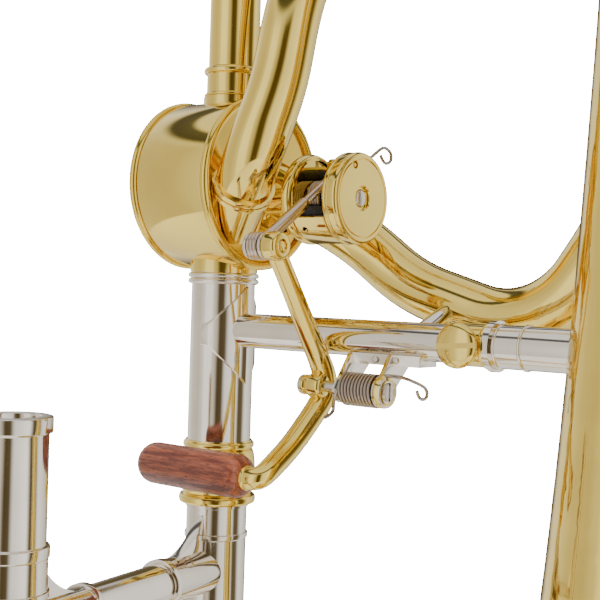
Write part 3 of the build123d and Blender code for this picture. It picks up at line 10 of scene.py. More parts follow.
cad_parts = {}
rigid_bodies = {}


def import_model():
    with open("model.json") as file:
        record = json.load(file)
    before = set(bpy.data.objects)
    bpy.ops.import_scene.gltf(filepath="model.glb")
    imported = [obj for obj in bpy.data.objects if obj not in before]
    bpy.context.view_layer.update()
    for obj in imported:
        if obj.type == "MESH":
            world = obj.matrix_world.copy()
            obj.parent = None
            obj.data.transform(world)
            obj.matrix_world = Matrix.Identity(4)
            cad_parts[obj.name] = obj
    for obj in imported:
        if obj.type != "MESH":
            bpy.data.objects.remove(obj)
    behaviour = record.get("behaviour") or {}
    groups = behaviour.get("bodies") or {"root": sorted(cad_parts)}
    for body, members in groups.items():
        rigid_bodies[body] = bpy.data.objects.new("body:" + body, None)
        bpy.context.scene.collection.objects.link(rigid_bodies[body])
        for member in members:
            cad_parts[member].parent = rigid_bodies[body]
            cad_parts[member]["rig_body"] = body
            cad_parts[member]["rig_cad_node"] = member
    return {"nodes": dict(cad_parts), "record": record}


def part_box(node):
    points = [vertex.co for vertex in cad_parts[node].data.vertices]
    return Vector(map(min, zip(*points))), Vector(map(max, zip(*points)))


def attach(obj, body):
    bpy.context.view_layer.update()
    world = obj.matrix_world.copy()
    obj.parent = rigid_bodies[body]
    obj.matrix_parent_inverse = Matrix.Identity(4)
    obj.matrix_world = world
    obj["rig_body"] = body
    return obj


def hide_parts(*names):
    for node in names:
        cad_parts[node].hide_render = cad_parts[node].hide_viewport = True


bl_info = {
    "name": "Trombone with Thumb Valve",
    "version": (1, 0, 0),
    "blender": (4, 5, 0),
    "location": "3D View > Sidebar > Trombone",
    "description": "Builds the finished surfaces of a tenor trombone round its measured frame",
    "category": "Add Mesh",
}

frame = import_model()
MM = 0.001
X = Vector((1, 0, 0))
Y = Vector((0, 1, 0))
Z = Vector((0, 0, 1))
BODY_OF = {n: b for b, members in frame["record"]["behaviour"]["bodies"].items() for n in members}


def low(node):
    """Lowest corner of a measured node."""
    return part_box(node)[0]


def high(node):
    """Highest corner of a measured node."""
    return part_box(node)[1]


def mid(node):
    """Middle of a measured node's box."""
    return (low(node) + high(node)) / 2


DRUM = mid("valve_casing")
STOP = mid("housing_cap")
BALL = Vector((low("ball_screw").x, mid("ball_screw").y, mid("ball_screw").z))
PIVOT = mid("lever_pivot")
BRACE = mid("bell_brace_tube")
GRIP = mid("thumb_grip")
NECK_R = (high("neckpipe").y - low("neckpipe").y) / 2


# ------------------------------------------------------------------ sizes and colours that a user can change
class TromboneSizes(PropertyGroup):
    """Sizes of the small details that the measured frame leaves plain."""
    bead: FloatProperty(name="Ferrule bead", description="How far a soldered bead stands proud",
                        default=0.0008, unit="LENGTH")
    spring_wire: FloatProperty(name="Spring wire", description="Radius of the lever's spring wire",
                               default=0.00042, unit="LENGTH")
    spring_turns: IntProperty(name="Spring turns", description="Turns in the lever's torsion spring",
                              default=10)
    hook_wire: FloatProperty(name="Hook wire", description="Radius of the thin hooked spring ends",
                             default=0.0005, unit="LENGTH")
    slot: FloatProperty(name="Screw slot", description="Width of the thumbscrew's slot",
                        default=0.0013, unit="LENGTH")
    thread_pitch: FloatProperty(name="Thread pitch", description="Pitch of the fine threads",
                                default=0.0005, unit="LENGTH")


class TromboneFinishes(PropertyGroup):
    """Colours of the metals, the wood and the soft bits."""
    brass: FloatVectorProperty(name="Brass", description="Clear-lacquered yellow brass", subtype="COLOR",
                               default=(0.94, 0.69, 0.15))
    deep_brass: FloatVectorProperty(name="Deep brass", description="Redder tone of turned rims",
                                    subtype="COLOR", default=(0.92, 0.64, 0.10))
    nickel: FloatVectorProperty(name="Nickel silver", description="Warm white alloy of tubes and braces",
                                subtype="COLOR", default=(0.89, 0.81, 0.69))
    steel: FloatVectorProperty(name="Spring steel", description="Bronzed spring wire", subtype="COLOR",
                               default=(0.46, 0.38, 0.31))
    bronze: FloatVectorProperty(name="Bronze", description="Dull bronze of the link and its joint",
                                subtype="COLOR", default=(0.66, 0.52, 0.40))
    wood_light: FloatVectorProperty(name="Wood, light", description="Lighter grain of the thumb grip",
                                    subtype="COLOR", default=(0.30, 0.075, 0.028))
    wood_dark: FloatVectorProperty(name="Wood, dark", description="Darker grain of the thumb grip",
                                   subtype="COLOR", default=(0.085, 0.016, 0.008))
    cork: FloatVectorProperty(name="Cork", description="Cork pad", subtype="COLOR",
                              default=(0.50, 0.33, 0.18))
    rubber: FloatVectorProperty(name="Rubber", description="Black rubber", subtype="COLOR",
                                default=(0.02, 0.02, 0.02))


class TromboneStudio(PropertyGroup):
    """Where the camera stands and how bright the room is."""
    azimuth: FloatProperty(name="Azimuth", description="Camera's turn about the drum, from -Y towards +X",
                           default=radians(38.5), subtype="ANGLE")
    elevation: FloatProperty(name="Elevation", description="Camera's height angle", default=radians(0.65),
                             subtype="ANGLE")
    roll: FloatProperty(name="Roll", description="Camera's turn about its own axis", default=radians(1.81),
                        subtype="ANGLE")
    lens: FloatProperty(name="Lens", description="Focal length on a 36 mm sensor", default=69.0)
    distance: FloatProperty(name="Distance", description="Camera to the drum's axis", default=0.3491,
                            unit="LENGTH")
    aside: FloatProperty(name="Aside", description="Camera's shift to its own right", default=0.02337,
                         unit="LENGTH")
    lift: FloatProperty(name="Lift", description="Camera's shift along its own up", default=-0.03415,
                        unit="LENGTH")
    room: FloatProperty(name="Room", description="Brightness of the walls as the metal sees them",
                        default=1.0)
    backdrop: FloatProperty(name="Backdrop", description="Brightness of the white behind", default=30.0)


# ------------------------------------------------------------------ shader expressions
class Wire:
    """A shader socket that Python's signs work on; each sign adds its Math node."""

    def __init__(self, sheet, socket):
        self.sheet = sheet
        self.socket = socket

    def __add__(self, other):
        return self.sheet.maths("ADD", self, other)

    def __sub__(self, other):
        return self.sheet.maths("SUBTRACT", self, other)

    def __rsub__(self, other):
        return self.sheet.maths("SUBTRACT", other, self)

    def __mul__(self, other):
        return self.sheet.maths("MULTIPLY", self, other)

    def __gt__(self, other):
        return self.sheet.maths("GREATER_THAN", self, other)

    __radd__ = __add__
    __rmul__ = __mul__


class Sheet:
    """The node tree of one material, or of the world."""

    def __init__(self, name, world=None):
        self.material = world or bpy.data.materials.new(name)
        self.material.use_nodes = True
        self.tree = self.material.node_tree
        if world:
            self.tree.nodes.clear()
        else:
            self.shader = self.tree.nodes["Principled BSDF"]

    def put(self, socket, value):
        if isinstance(value, Wire):
            self.tree.links.new(value.socket, socket)
        else:
            socket.default_value = value

    def node(self, kind, out=0, settings=(), **sockets):
        made = self.tree.nodes.new("ShaderNode" + kind)
        for key, value in dict(settings).items():
            setattr(made, key, value)
        for key, value in sockets.items():
            place = int(key[1:]) if key[0] == "n" and key[1:].isdigit() else key.replace("_", " ")
            self.put(made.inputs[place], value)
        return Wire(self, made.outputs[out])

    def maths(self, operation, first, second):
        return self.node("Math", settings={"operation": operation}, n0=first, n1=second)

    def mix(self, amount, first, second):
        return self.node("Mix", out=2, settings={"data_type": "RGBA"}, n0=amount,
                         n6=self.colour(first), n7=self.colour(second))

    def colour(self, value):
        return value if isinstance(value, Wire) else (*tuple(value)[:3], 1.0)

    def place(self, stretch=(1, 1, 1), turn=(0, 0, 0)):
        spot = self.node("TexCoord", out=3)
        return self.node("Mapping", Vector=spot, Scale=stretch, Rotation=turn)

    def noise(self, where, scale, detail=3.0, rough=0.5):
        return self.node("TexNoise", out=0, Vector=where, Scale=scale, Detail=detail, Roughness=rough)

    def steps(self, value, *stops):
        """A soft step from the first stop to the last."""
        return self.node("MapRange", settings={"interpolation_type": "SMOOTHSTEP"}, Value=value,
                         From_Min=stops[0], From_Max=stops[1], To_Min=0.0, To_Max=1.0)

    def ramp(self, value, stops):
        """Colours that ease from stop to stop."""
        spread = self.node("ValToRGB", Fac=value)
        bar = self.tree.nodes[-1].color_ramp
        bar.interpolation = "EASE"
        while len(bar.elements) < len(stops):
            bar.elements.new(0.5)
        for element, (where, colour) in zip(bar.elements, stops):
            element.position = where
            element.color = (*colour, 1)
        return spread

    def bump(self, height, strength, distance):
        return self.node("Bump", Strength=strength, Distance=distance, Height=height)

    def finish(self, **sockets):
        for key, value in sockets.items():
            self.put(self.shader.inputs[key.replace("_", " ")], value)
        return self.material


def shade(colour, factor):
    """The same colour, lighter or darker."""
    return tuple(min(1.0, c * factor) for c in colour)


def metal(name, tint, rough, spread, depth=0.000004, coat=0.0, patina=0.90, dark=None):
    """A polished metal: faint cloudy tone, buffing marks in its gloss, and a very fine uneven skin."""
    sheet = Sheet(name)
    where = sheet.place()
    cloud = sheet.noise(where, 55.0, 4.0)
    fine = sheet.noise(where, 900.0, 3.0)
    buff = sheet.noise(sheet.place(stretch=(1.0, 1.0, 0.12)), 1600.0, 2.0)
    tone = sheet.mix(sheet.steps(cloud, 0.30, 0.72), dark or shade(tint, patina), tint)
    gloss = rough + spread * (0.6 * fine + 0.4 * buff)
    skin = sheet.bump(sheet.noise(where, 150.0, 2.0), 0.06, depth)
    return sheet.finish(Base_Color=tone, Metallic=1.0, Roughness=gloss, Normal=skin, Coat_Weight=coat,
                        Coat_Roughness=0.03)


def wood(name, light, deep):
    """Oiled hardwood with its grain along X, dark pores, and streaks that wander."""
    sheet = Sheet(name)
    grain = sheet.noise(sheet.place(stretch=(0.09, 1, 1)), 1050.0, 6.0, 0.62)
    streak = sheet.noise(sheet.place(stretch=(0.05, 1, 1)), 330.0, 3.0, 0.5)
    pores = sheet.noise(sheet.place(stretch=(0.12, 1, 1)), 3600.0, 1.0, 0.4)
    body = sheet.mix(sheet.steps(0.55 * grain + 0.45 * streak, 0.38, 0.62), deep, light)
    pore = sheet.steps(pores, 0.60, 0.68)
    tone = sheet.mix(pore * 0.75, body, shade(deep, 0.45))
    skin = sheet.bump(grain * 0.35 - pore * 0.8, 0.35, 0.00012)
    return sheet.finish(Base_Color=tone, Roughness=0.34 + 0.22 * pore, Normal=skin, Coat_Weight=0.15,
                        Coat_Roughness=0.22)


def speckled(name, tint, deep, scale, rough, depth):
    """Cork or rubber: two tones in small grains over a matt, slightly pitted skin."""
    sheet = Sheet(name)
    where = sheet.place()
    grain = sheet.noise(where, scale, 4.0, 0.6)
    tone = sheet.mix(sheet.steps(grain, 0.42, 0.60), deep, tint)
    skin = sheet.bump(grain, 0.5, depth)
    return sheet.finish(Base_Color=tone, Roughness=rough + 0.12 * grain, Normal=skin)


def finish_table(colours):
    """Every finish on the instrument, by name."""
    return {
        "lacquered_brass": metal("lacquered_brass", colours.brass, 0.045, 0.06, coat=0.25),
        "turned_brass": metal("turned_brass", colours.deep_brass, 0.10, 0.10, coat=0.15),
        "raw_brass": metal("raw_brass", shade(colours.brass, 0.82), 0.22, 0.12),
        "nickel_silver": metal("nickel_silver", colours.nickel, 0.05, 0.07, coat=0.1),
        "soft_nickel": metal("soft_nickel", shade(colours.nickel, 0.85), 0.20, 0.12),
        "bronzed": metal("bronzed", colours.bronze, 0.14, 0.12),
        "spring_steel": metal("spring_steel", colours.steel, 0.24, 0.14),
        "chrome_plate": metal("chrome_plate", (0.75, 0.76, 0.78), 0.07, 0.08),
        "hardwood": wood("hardwood", colours.wood_light, colours.wood_dark),
        "cork": speckled("cork", colours.cork, shade(colours.cork, 0.45), 900.0, 0.75, 0.00015),
        "rubber": speckled("rubber", colours.rubber, shade(colours.rubber, 0.5), 1800.0, 0.55, 0.00005),
    }


FINISH = {}


def finish_of(name):
    """The named finish, made once on its first use."""
    if not FINISH:
        FINISH.update(finish_table(bpy.context.scene.trombone_finishes))
    return FINISH[name]


def paint(piece, finish):
    """Gives a piece one finish all over."""
    piece.data.materials.clear()
    piece.data.materials.append(finish_of(finish))


# ------------------------------------------------------------------ modelling by hand
def clear_hand():
    """Object mode with nothing selected."""
    if bpy.context.object and bpy.context.object.mode != "OBJECT":
        bpy.ops.object.mode_set(mode="OBJECT")
    bpy.ops.object.select_all(action="DESELECT")


def pick(*pieces):
    """Selects just these pieces, the first one active."""
    clear_hand()
    for piece in pieces:
        piece.select_set(True)
    bpy.context.view_layer.objects.active = pieces[0]


def settle(piece, name, angle=32.0):
    """Applies a piece's place, names it, and smooths it up to an angle."""
    pick(piece)
    bpy.ops.object.transform_apply(location=True, rotation=True, scale=True)
    bpy.ops.object.shade_smooth_by_angle(angle=radians(angle))
    piece.name = name
    piece.data.name = name
    return piece


def modify(piece, kind, **settings):
    """Adds a modifier and applies it."""
    pick(piece)
    bpy.ops.object.modifier_add(type=kind)
    modifier = piece.modifiers[-1]
    for key, value in settings.items():
        setattr(modifier, key, value)
    bpy.ops.object.modifier_apply(modifier=modifier.name)


def heal(piece, threshold=1e-6, caps=False):
    """Welds a mesh, closes its open ends if asked, and turns its faces outward."""
    pick(piece)
    bpy.ops.object.mode_set(mode="EDIT")
    bpy.ops.mesh.select_all(action="SELECT")
    bpy.ops.mesh.remove_doubles(threshold=threshold)
    if caps:
        bpy.ops.mesh.select_all(action="DESELECT")
        bpy.ops.mesh.select_non_manifold()
        bpy.ops.mesh.edge_face_add()
        bpy.ops.mesh.select_all(action="SELECT")
    bpy.ops.mesh.normals_make_consistent(inside=False)
    bpy.ops.object.mode_set(mode="OBJECT")


def aim(piece, start, direction):
    """Stands a piece that was built up the Z axis at a start point, along a direction."""
    piece.rotation_mode = "QUATERNION"
    piece.rotation_quaternion = Vector(direction).to_track_quat("Z", "Y")
    piece.location = start


def turned(name, start, direction, stations, sides=96, angle=32.0):
    """A piece turned on a lathe: rings at (along, radius), extruded one from the next.

    A profile that ends where it began is a ring with a bore; any other end is closed to a point.
    """
    clear_hand()
    along, radius = stations[0]
    looped = stations[0] == stations[-1]
    tiny = 1e-7
    bpy.ops.mesh.primitive_circle_add(vertices=sides, radius=max(radius, tiny), location=(0, 0, 0))
    piece = bpy.context.object
    bpy.ops.object.mode_set(mode="EDIT")
    bpy.ops.mesh.select_all(action="SELECT")
    bpy.ops.transform.translate(value=(0, 0, along))
    for (before, r_before), (after, r_after) in zip(stations, stations[1:]):
        bpy.ops.mesh.extrude_region_move(TRANSFORM_OT_translate={"value": (0, 0, after - before)})
        ratio = max(r_after, tiny) / max(r_before, tiny)
        if abs(ratio - 1) > 1e-6:
            bpy.ops.transform.resize(value=(ratio, ratio, 1), center_override=(0, 0, after))
    if not looped:
        bpy.ops.mesh.edge_face_add()
        bpy.ops.mesh.select_all(action="DESELECT")
        bpy.ops.object.mode_set(mode="OBJECT")
        for vertex in piece.data.vertices[:sides]:
            vertex.select = True
        bpy.ops.object.mode_set(mode="EDIT")
        bpy.ops.mesh.edge_face_add()
    heal(piece, 2e-6)
    aim(piece, start, direction)
    return settle(piece, name, angle)


def rounded(start, end, radius, ease, steps=5):
    """Stations of a plain disc or rod whose two rims are eased by a radius."""
    turns = [pi / 2 * i / steps for i in range(steps + 1)]
    first = [(start + ease * (1 - sin(t)), radius - ease * (1 - cos(t))) for t in reversed(turns)]
    last = [(end - ease * (1 - sin(t)), radius - ease * (1 - cos(t))) for t in turns]
    return [(start, 0.0)] + first + last + [(end, 0.0)]


def bead(start, width, radius, proud, steps=8):
    """Stations of a half-round bead on a tube."""
    turns = [pi * i / steps for i in range(steps + 1)]
    return [(start + width * (1 - cos(t)) / 2, radius + proud * sin(t)) for t in turns]


def ring(name, start, direction, bore, *outer, sides=96):
    """A ring with a bore under the given outer stations."""
    profile = [(outer[0][0], bore)] + list(outer) + [(outer[-1][0], bore), (outer[0][0], bore)]
    return turned(name, start, direction, profile, sides)


def drawn(name, points, radius, sides=6, smooth=24, order=3, ends=True, swell=None):
    """A rod or wire drawn along a smooth line through its control points, thicker where swell is above 1."""
    clear_hand()
    bpy.ops.curve.primitive_nurbs_path_add(radius=1, location=(0, 0, 0))
    piece = bpy.context.object
    curve = piece.data
    curve.splines.clear()
    spline = curve.splines.new("NURBS")
    spline.points.add(len(points) - 1)
    for place, point, thick in zip(spline.points, points, swell or [1.0] * len(points)):
        place.co = (*point, 1.0)
        place.radius = thick
    spline.order_u = order
    spline.use_endpoint_u = True
    spline.resolution_u = smooth
    curve.dimensions = "3D"
    curve.bevel_depth = radius
    curve.bevel_resolution = sides
    curve.use_fill_caps = ends
    bpy.ops.object.convert(target="MESH")
    piece = bpy.context.object
    heal(piece)
    return settle(piece, name, 50)


def coil(name, start, direction, turns, length, radius, wire, sides=10, steps=28):
    """A close-wound spring: one wire section screwed along its axis."""
    clear_hand()
    bpy.ops.mesh.primitive_circle_add(vertices=sides, radius=wire, location=(radius, 0, 0),
                                      rotation=(pi / 2, 0, 0))
    piece = bpy.context.object
    bpy.ops.object.transform_apply(location=True, rotation=True, scale=True)
    modify(piece, "SCREW", axis="Z", screw_offset=length / turns, iterations=turns, steps=steps,
           render_steps=steps, use_normal_calculate=True)
    heal(piece, caps=True)
    aim(piece, start, direction)
    return settle(piece, name, 60)


def swept_wall(name, centre, inner, outer, start, end, first, last, steps=72):
    """A wall bent round the X axis, between two angles that are counted from +Y towards +Z."""
    clear_hand()
    bpy.ops.mesh.primitive_plane_add(size=1, location=((inner + outer) / 2, 0, (start + end) / 2),
                                     rotation=(pi / 2, 0, 0))
    piece = bpy.context.object
    piece.scale = (outer - inner, end - start, 1)
    bpy.ops.object.transform_apply(location=True, rotation=True, scale=True)
    modify(piece, "BEVEL", width=0.25 * MM, segments=3, affect="VERTICES")
    modify(piece, "SCREW", axis="Z", angle=radians(last - first), screw_offset=0, iterations=1, steps=steps,
           render_steps=steps, use_normal_calculate=True)
    heal(piece, caps=True)
    piece.rotation_euler = (0, 0, radians(first))
    bpy.ops.object.transform_apply(location=False, rotation=True, scale=False)
    aim(piece, centre, X)
    return settle(piece, name, 40)


def block(name, centre, size, ease, turn=None, segments=3):
    """A small block with its edges eased."""
    clear_hand()
    bpy.ops.mesh.primitive_cube_add(size=1, location=(0, 0, 0))
    piece = bpy.context.object
    piece.scale = size
    bpy.ops.object.transform_apply(location=False, rotation=False, scale=True)
    if ease:
        modify(piece, "BEVEL", width=ease, segments=segments)
    if turn is not None:
        piece.rotation_mode = "QUATERNION"
        piece.rotation_quaternion = turn
    piece.location = centre
    return settle(piece, name)


def cut(piece, *tools):
    """Takes each tool's shape out of a piece."""
    for tool in tools:
        modify(piece, "BOOLEAN", operation="DIFFERENCE", solver="EXACT", object=tool)
        bpy.data.objects.remove(tool)
    pick(piece)
    bpy.ops.object.shade_smooth_by_angle(angle=radians(32))
    return piece


def joined(name, *pieces):
    """Several loose bits made one piece."""
    pick(*pieces)
    bpy.ops.object.join()
    pieces[0].name = name
    pieces[0].data.name = name
    return pieces[0]


def place(piece, finish, slot, *nodes, body=None):
    """Paints a piece, lets it ride, and has it stand for its nodes."""
    if finish:
        paint(piece, finish)
    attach(piece, body or BODY_OF[nodes[0]])
    if nodes:
        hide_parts(*nodes)
    return piece


def polished(node, finish, slot=None, ease=0.0, angle=30.0, name=None):
    """A measured node's own shape with its loose facets welded and its edges eased."""
    clear_hand()
    source = frame["nodes"][node]
    piece = source.copy()
    piece.data = source.data.copy()
    piece.parent = None
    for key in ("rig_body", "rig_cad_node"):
        if key in piece:
            del piece[key]
    bpy.context.scene.collection.objects.link(piece)
    piece.hide_render = False
    piece.hide_viewport = False
    pick(piece)
    if piece.data.has_custom_normals:
        bpy.ops.mesh.customdata_custom_splitnormals_clear()
    bpy.ops.object.mode_set(mode="EDIT")
    bpy.ops.mesh.select_all(action="SELECT")
    bpy.ops.mesh.remove_doubles(threshold=2e-6)
    bpy.ops.mesh.tris_convert_to_quads(face_threshold=radians(2), shape_threshold=radians(40))
    bpy.ops.object.mode_set(mode="OBJECT")
    if ease:
        modify(piece, "BEVEL", width=ease, segments=3, limit_method="ANGLE", angle_limit=radians(35))
    settle(piece, name or node + "_polished", angle)
    return place(piece, finish, slot or record_slot(node), node)


def record_slot(node):
    """The material slot that the record gives a node."""
    return next(s["material_slot"] for s in frame["record"]["subparts"] if s["node"] == node)


def at(x, y, z):
    """A point given in millimetres from the drum's middle."""
    return Vector((x, y, z)) * MM + Vector((0, 0, DRUM.z))


# ------------------------------------------------------------------ pieces
class PieceOperator(Operator):
    """Shared options of every builder here."""
    bl_options = {"REGISTER", "UNDO"}


class TROMBONE_OT_tubes(PieceOperator):
    """The long tubes: neckpipe, gooseneck, valve tubing, the bell, and the bows of both tuning slides and of
    the hand slide.
    """
    bl_idname = "trombone.tubes"
    bl_label = "Tubes"

    def execute(self, context):
        for node in ("gooseneck_tube", "f_upper_tube", "f_lower_tube", "drum_saddles", "bell_flare",
                     "bell_stem", "tuning_bow", "f_bow", "slide_bow"):
            polished(node, "lacquered_brass", angle=40)
        polished("neckpipe", "nickel_silver")
        return {"FINISHED"}


class TROMBONE_OT_ferrules(PieceOperator):
    """The beaded rings where tubes meet: turned, with half-round beads."""
    bl_idname = "trombone.ferrules"
    bl_label = "Ferrules"

    def execute(self, context):
        proud = context.scene.trombone_sizes.bead
        bottom = low("neckpipe_ferrule").z
        height = high("neckpipe_ferrule").z - bottom
        wall = NECK_R + 0.35 * MM
        outer = [(0, wall)] + bead(0.1 * MM, height / 2 - 0.15 * MM, wall, proud)
        outer += bead(height / 2 + 0.05 * MM, height / 2 - 0.15 * MM, wall, proud) + [(height, wall)]
        piece = ring("neck_double_bead", (0, 0, bottom), Z, NECK_R, *outer)
        place(piece, "nickel_silver", "nickel_silver", "neckpipe_ferrule")

        axis = mid("gooseneck_tube")
        tube = (high("gooseneck_tube").x - low("gooseneck_tube").x) / 2
        bottom = low("gooseneck_ferrule").z
        height = high("gooseneck_ferrule").z - bottom
        wall = tube + 0.5 * MM
        outer = [(0, wall)] + bead(0.05 * MM, 1.1 * MM, wall, 0.5 * MM)
        outer += [(2.0 * MM, wall - 0.15 * MM), (height - 2.4 * MM, wall - 0.15 * MM)]
        outer += bead(height - 2.2 * MM, 2.0 * MM, wall, proud) + [(height, wall - 0.2 * MM)]
        piece = ring("gooseneck_beaded_ferrule", (axis.x, axis.y, bottom), Z, tube, *outer)
        place(piece, "lacquered_brass", "nickel_silver", "gooseneck_ferrule")
        polished("f_sleeves", "lacquered_brass", ease=0.35 * MM)
        for node in ("f_slide_legs", "tuning_legs", "tuning_bow_legs", "f_bow_legs", "bell_ferrule"):
            polished(node, "nickel_silver", ease=0.45 * MM)
        for node in ("tuning_bow_stay", "f_bow_stay", "upper_stay", "f_loop_stays"):
            polished(node, "nickel_silver", ease=0.2 * MM)
        polished("bell_rim_wire", "lacquered_brass", angle=60)
        return {"FINISHED"}


class TROMBONE_OT_valve(PieceOperator):
    """The valve drum: its wall, the beaded front plate and the beaded back cap, and the rotor inside."""
    bl_idname = "trombone.valve"
    bl_label = "Valve drum"

    def execute(self, context):
        polished("valve_casing", "lacquered_brass", ease=0.3 * MM)
        polished("valve_front_plate", "turned_brass", angle=35)
        start = low("valve_back_cap").x
        length = high("valve_back_cap").x - start
        rim = (high("valve_back_cap").z - low("valve_back_cap").z) / 2
        bulge = 1.4 * MM
        lip = length - 2 * bulge
        stations = [(0, 0), (0, rim * 0.60), (0.5 * MM, rim * 0.68), (0.7 * MM, rim * 0.74),
                    (0.5 * MM, rim - 2.8 * MM)]
        stations += [(length / 2 - bulge * cos(t), rim - bulge + bulge * sin(t))
                     for t in [pi * i / 12 for i in range(13)]]
        stations += [(length - lip / 4, rim - 2.6 * MM), (length, rim - 2.8 * MM), (length, 0)]
        piece = turned("back_cap_turned", (start, DRUM.y, DRUM.z), X, stations, 128, 40)
        place(piece, "turned_brass", "lacquered_brass", "valve_back_cap")
        for node in ("rotor", "rotor_bearings"):
            polished(node, "raw_brass", ease=0.15 * MM)
        return {"FINISHED"}


class TROMBONE_OT_stop_housing(PieceOperator):
    """The round stop housing on the drum's front: spool, screwed cap, torsion spring and hooked wire ends."""
    bl_idname = "trombone.stop_housing"
    bl_label = "Stop housing"

    def execute(self, context):
        sizes = context.scene.trombone_sizes
        centre = Vector((0, STOP.y, STOP.z))
        rim = (high("stop_housing").z - low("stop_housing").z) / 2
        plate_x = low("stop_housing").x
        front_x = low("stop_bumpers").x
        wall_x = high("stop_housing").x
        flange = 3.0 * MM
        flange_x = front_x - flange
        bore = 2.55 * MM
        stations = [(plate_x, bore), (plate_x, 5.4 * MM), (plate_x + 1.2 * MM, 5.4 * MM),
                    (plate_x + 1.8 * MM, 4.0 * MM), (flange_x - 3.0 * MM, 3.6 * MM),
                    (flange_x - 1.4 * MM, 5.0 * MM), (flange_x, 7.4 * MM), (flange_x, rim - 1.6 * MM)]
        stations += bead(flange_x, flange, rim - 0.9 * MM, 0.9 * MM, 12)
        stations += [(front_x, rim - 1.3 * MM), (front_x + 0.7 * MM, rim - 1.3 * MM),
                     (front_x + 0.7 * MM, rim - 1.9 * MM), (front_x, rim - 1.9 * MM), (front_x, bore),
                     (plate_x, bore)]
        spool = turned("stop_spool", centre, X, stations, 96, 40)
        wall = swept_wall("stop_wall", centre, rim - 1.35 * MM, rim - 0.35 * MM, front_x + 0.55 * MM,
                          wall_x, 208, 415)
        low_left = Vector((0, cos(radians(226)), sin(radians(226))))
        drill = turned("drill", centre + X * (front_x + 3.4 * MM) + low_left * (rim - 2.5 * MM), low_left,
                       rounded(0, 4 * MM, 0.95 * MM, 0.02 * MM), 32)
        wall = cut(wall, drill)
        joined("stop_housing_shell", spool, wall)
        place(spool, "lacquered_brass", "lacquered_brass", "stop_housing")

        face = high("housing_cap").x
        back = low("housing_cap").x
        thick = face - back
        lip = rim - 1.3 * MM
        stations = [(0, bore), (0, rim - 0.7 * MM)] + bead(0.1 * MM, 1.5 * MM, rim - 0.5 * MM, 0.5 * MM)
        stations += [(1.75 * MM, rim - 0.55 * MM), (1.95 * MM, rim - 0.2 * MM)]
        stations += [(thick - 1.2 * MM + 1.2 * MM * sin(t), rim - 0.1 * MM - 1.2 * MM * (1 - cos(t)))
                     for t in [pi / 2 * i / 8 for i in range(9)]]
        stations += [(thick, lip - 0.5 * MM), (thick - 0.4 * MM, lip - 0.62 * MM),
                     (thick - 0.4 * MM, lip - 0.86 * MM), (thick, lip - 1.0 * MM),
                     (thick, 3.55 * MM), (thick - 0.25 * MM, 3.3 * MM), (thick - 0.9 * MM, 3.2 * MM),
                     (thick - 0.9 * MM, bore), (0, bore)]
        cap = turned("stop_cap_turned", (back, STOP.y, STOP.z), X, stations, 128, 30)
        notch_at = Vector((face, STOP.y - 3.9 * MM, STOP.z + rim - 4.0 * MM))
        drill = turned("drill", notch_at - X * 1.0 * MM, X, rounded(0, 3 * MM, 1.1 * MM, 0.05 * MM), 32)
        cap = cut(cap, drill)
        peg = turned("peg", notch_at - X * 1.2 * MM, X, rounded(0, 1.1 * MM, 0.6 * MM, 0.25 * MM), 24)
        joined("stop_cap_with_peg", cap, peg)
        place(cap, "lacquered_brass", "lacquered_brass", "housing_cap")

        dome = [(0, 0), (0, 2.45 * MM), (thick - 0.9 * MM, 2.45 * MM), (thick - 0.55 * MM, 2.3 * MM),
                (thick - 0.3 * MM, 1.9 * MM), (thick - 0.15 * MM, 1.1 * MM), (thick - 0.1 * MM, 0)]
        end = turned("spindle_domed_end", (back, STOP.y, STOP.z), X, dome, 48, 50)
        place(end, "soft_nickel", "nickel_silver", body="valve_rotor")

        winding = coil("winding", centre + X * (front_x + 0.6 * MM), X, 5, 4.3 * MM, 4.9 * MM,
                       sizes.hook_wire)
        coil_top = Vector((0, STOP.y, DRUM.z - 3.0 * MM))
        crook = coil_top + X * (front_x + 11.2 * MM)
        lead = drawn("lead", [
            coil_top + Vector((front_x + 4.6 * MM, 4.8 * MM, 1.0 * MM)),
            coil_top + Vector((front_x + 5.2 * MM, 6.5 * MM, 6.0 * MM)),
            coil_top + Vector((front_x + 6.8 * MM, 9.0 * MM, 8.8 * MM)),
            coil_top + Vector((front_x + 9.6 * MM, 12.2 * MM, 10.2 * MM)),
            crook + Vector((0, 15.1, 13.4)) * MM, crook + Vector((0, 17.6, 14.2)) * MM,
            crook + Vector((0, 20.8, 12.9)) * MM, crook + Vector((0, 20.9, 10.4)) * MM,
            crook + Vector((0, 18.4, 9.3)) * MM, crook + Vector((0, 16.3, 10.2)) * MM,
            crook + Vector((0, 15.4, 11.6)) * MM,
        ], sizes.hook_wire)
        joined("stop_spring", winding, lead)
        place(winding, "spring_steel", "spring_steel", body="frame")
        polished("stop_bumpers", "rubber", ease=0.3 * MM)
        polished("stop_arm", "turned_brass", ease=0.35 * MM)
        return {"FINISHED"}


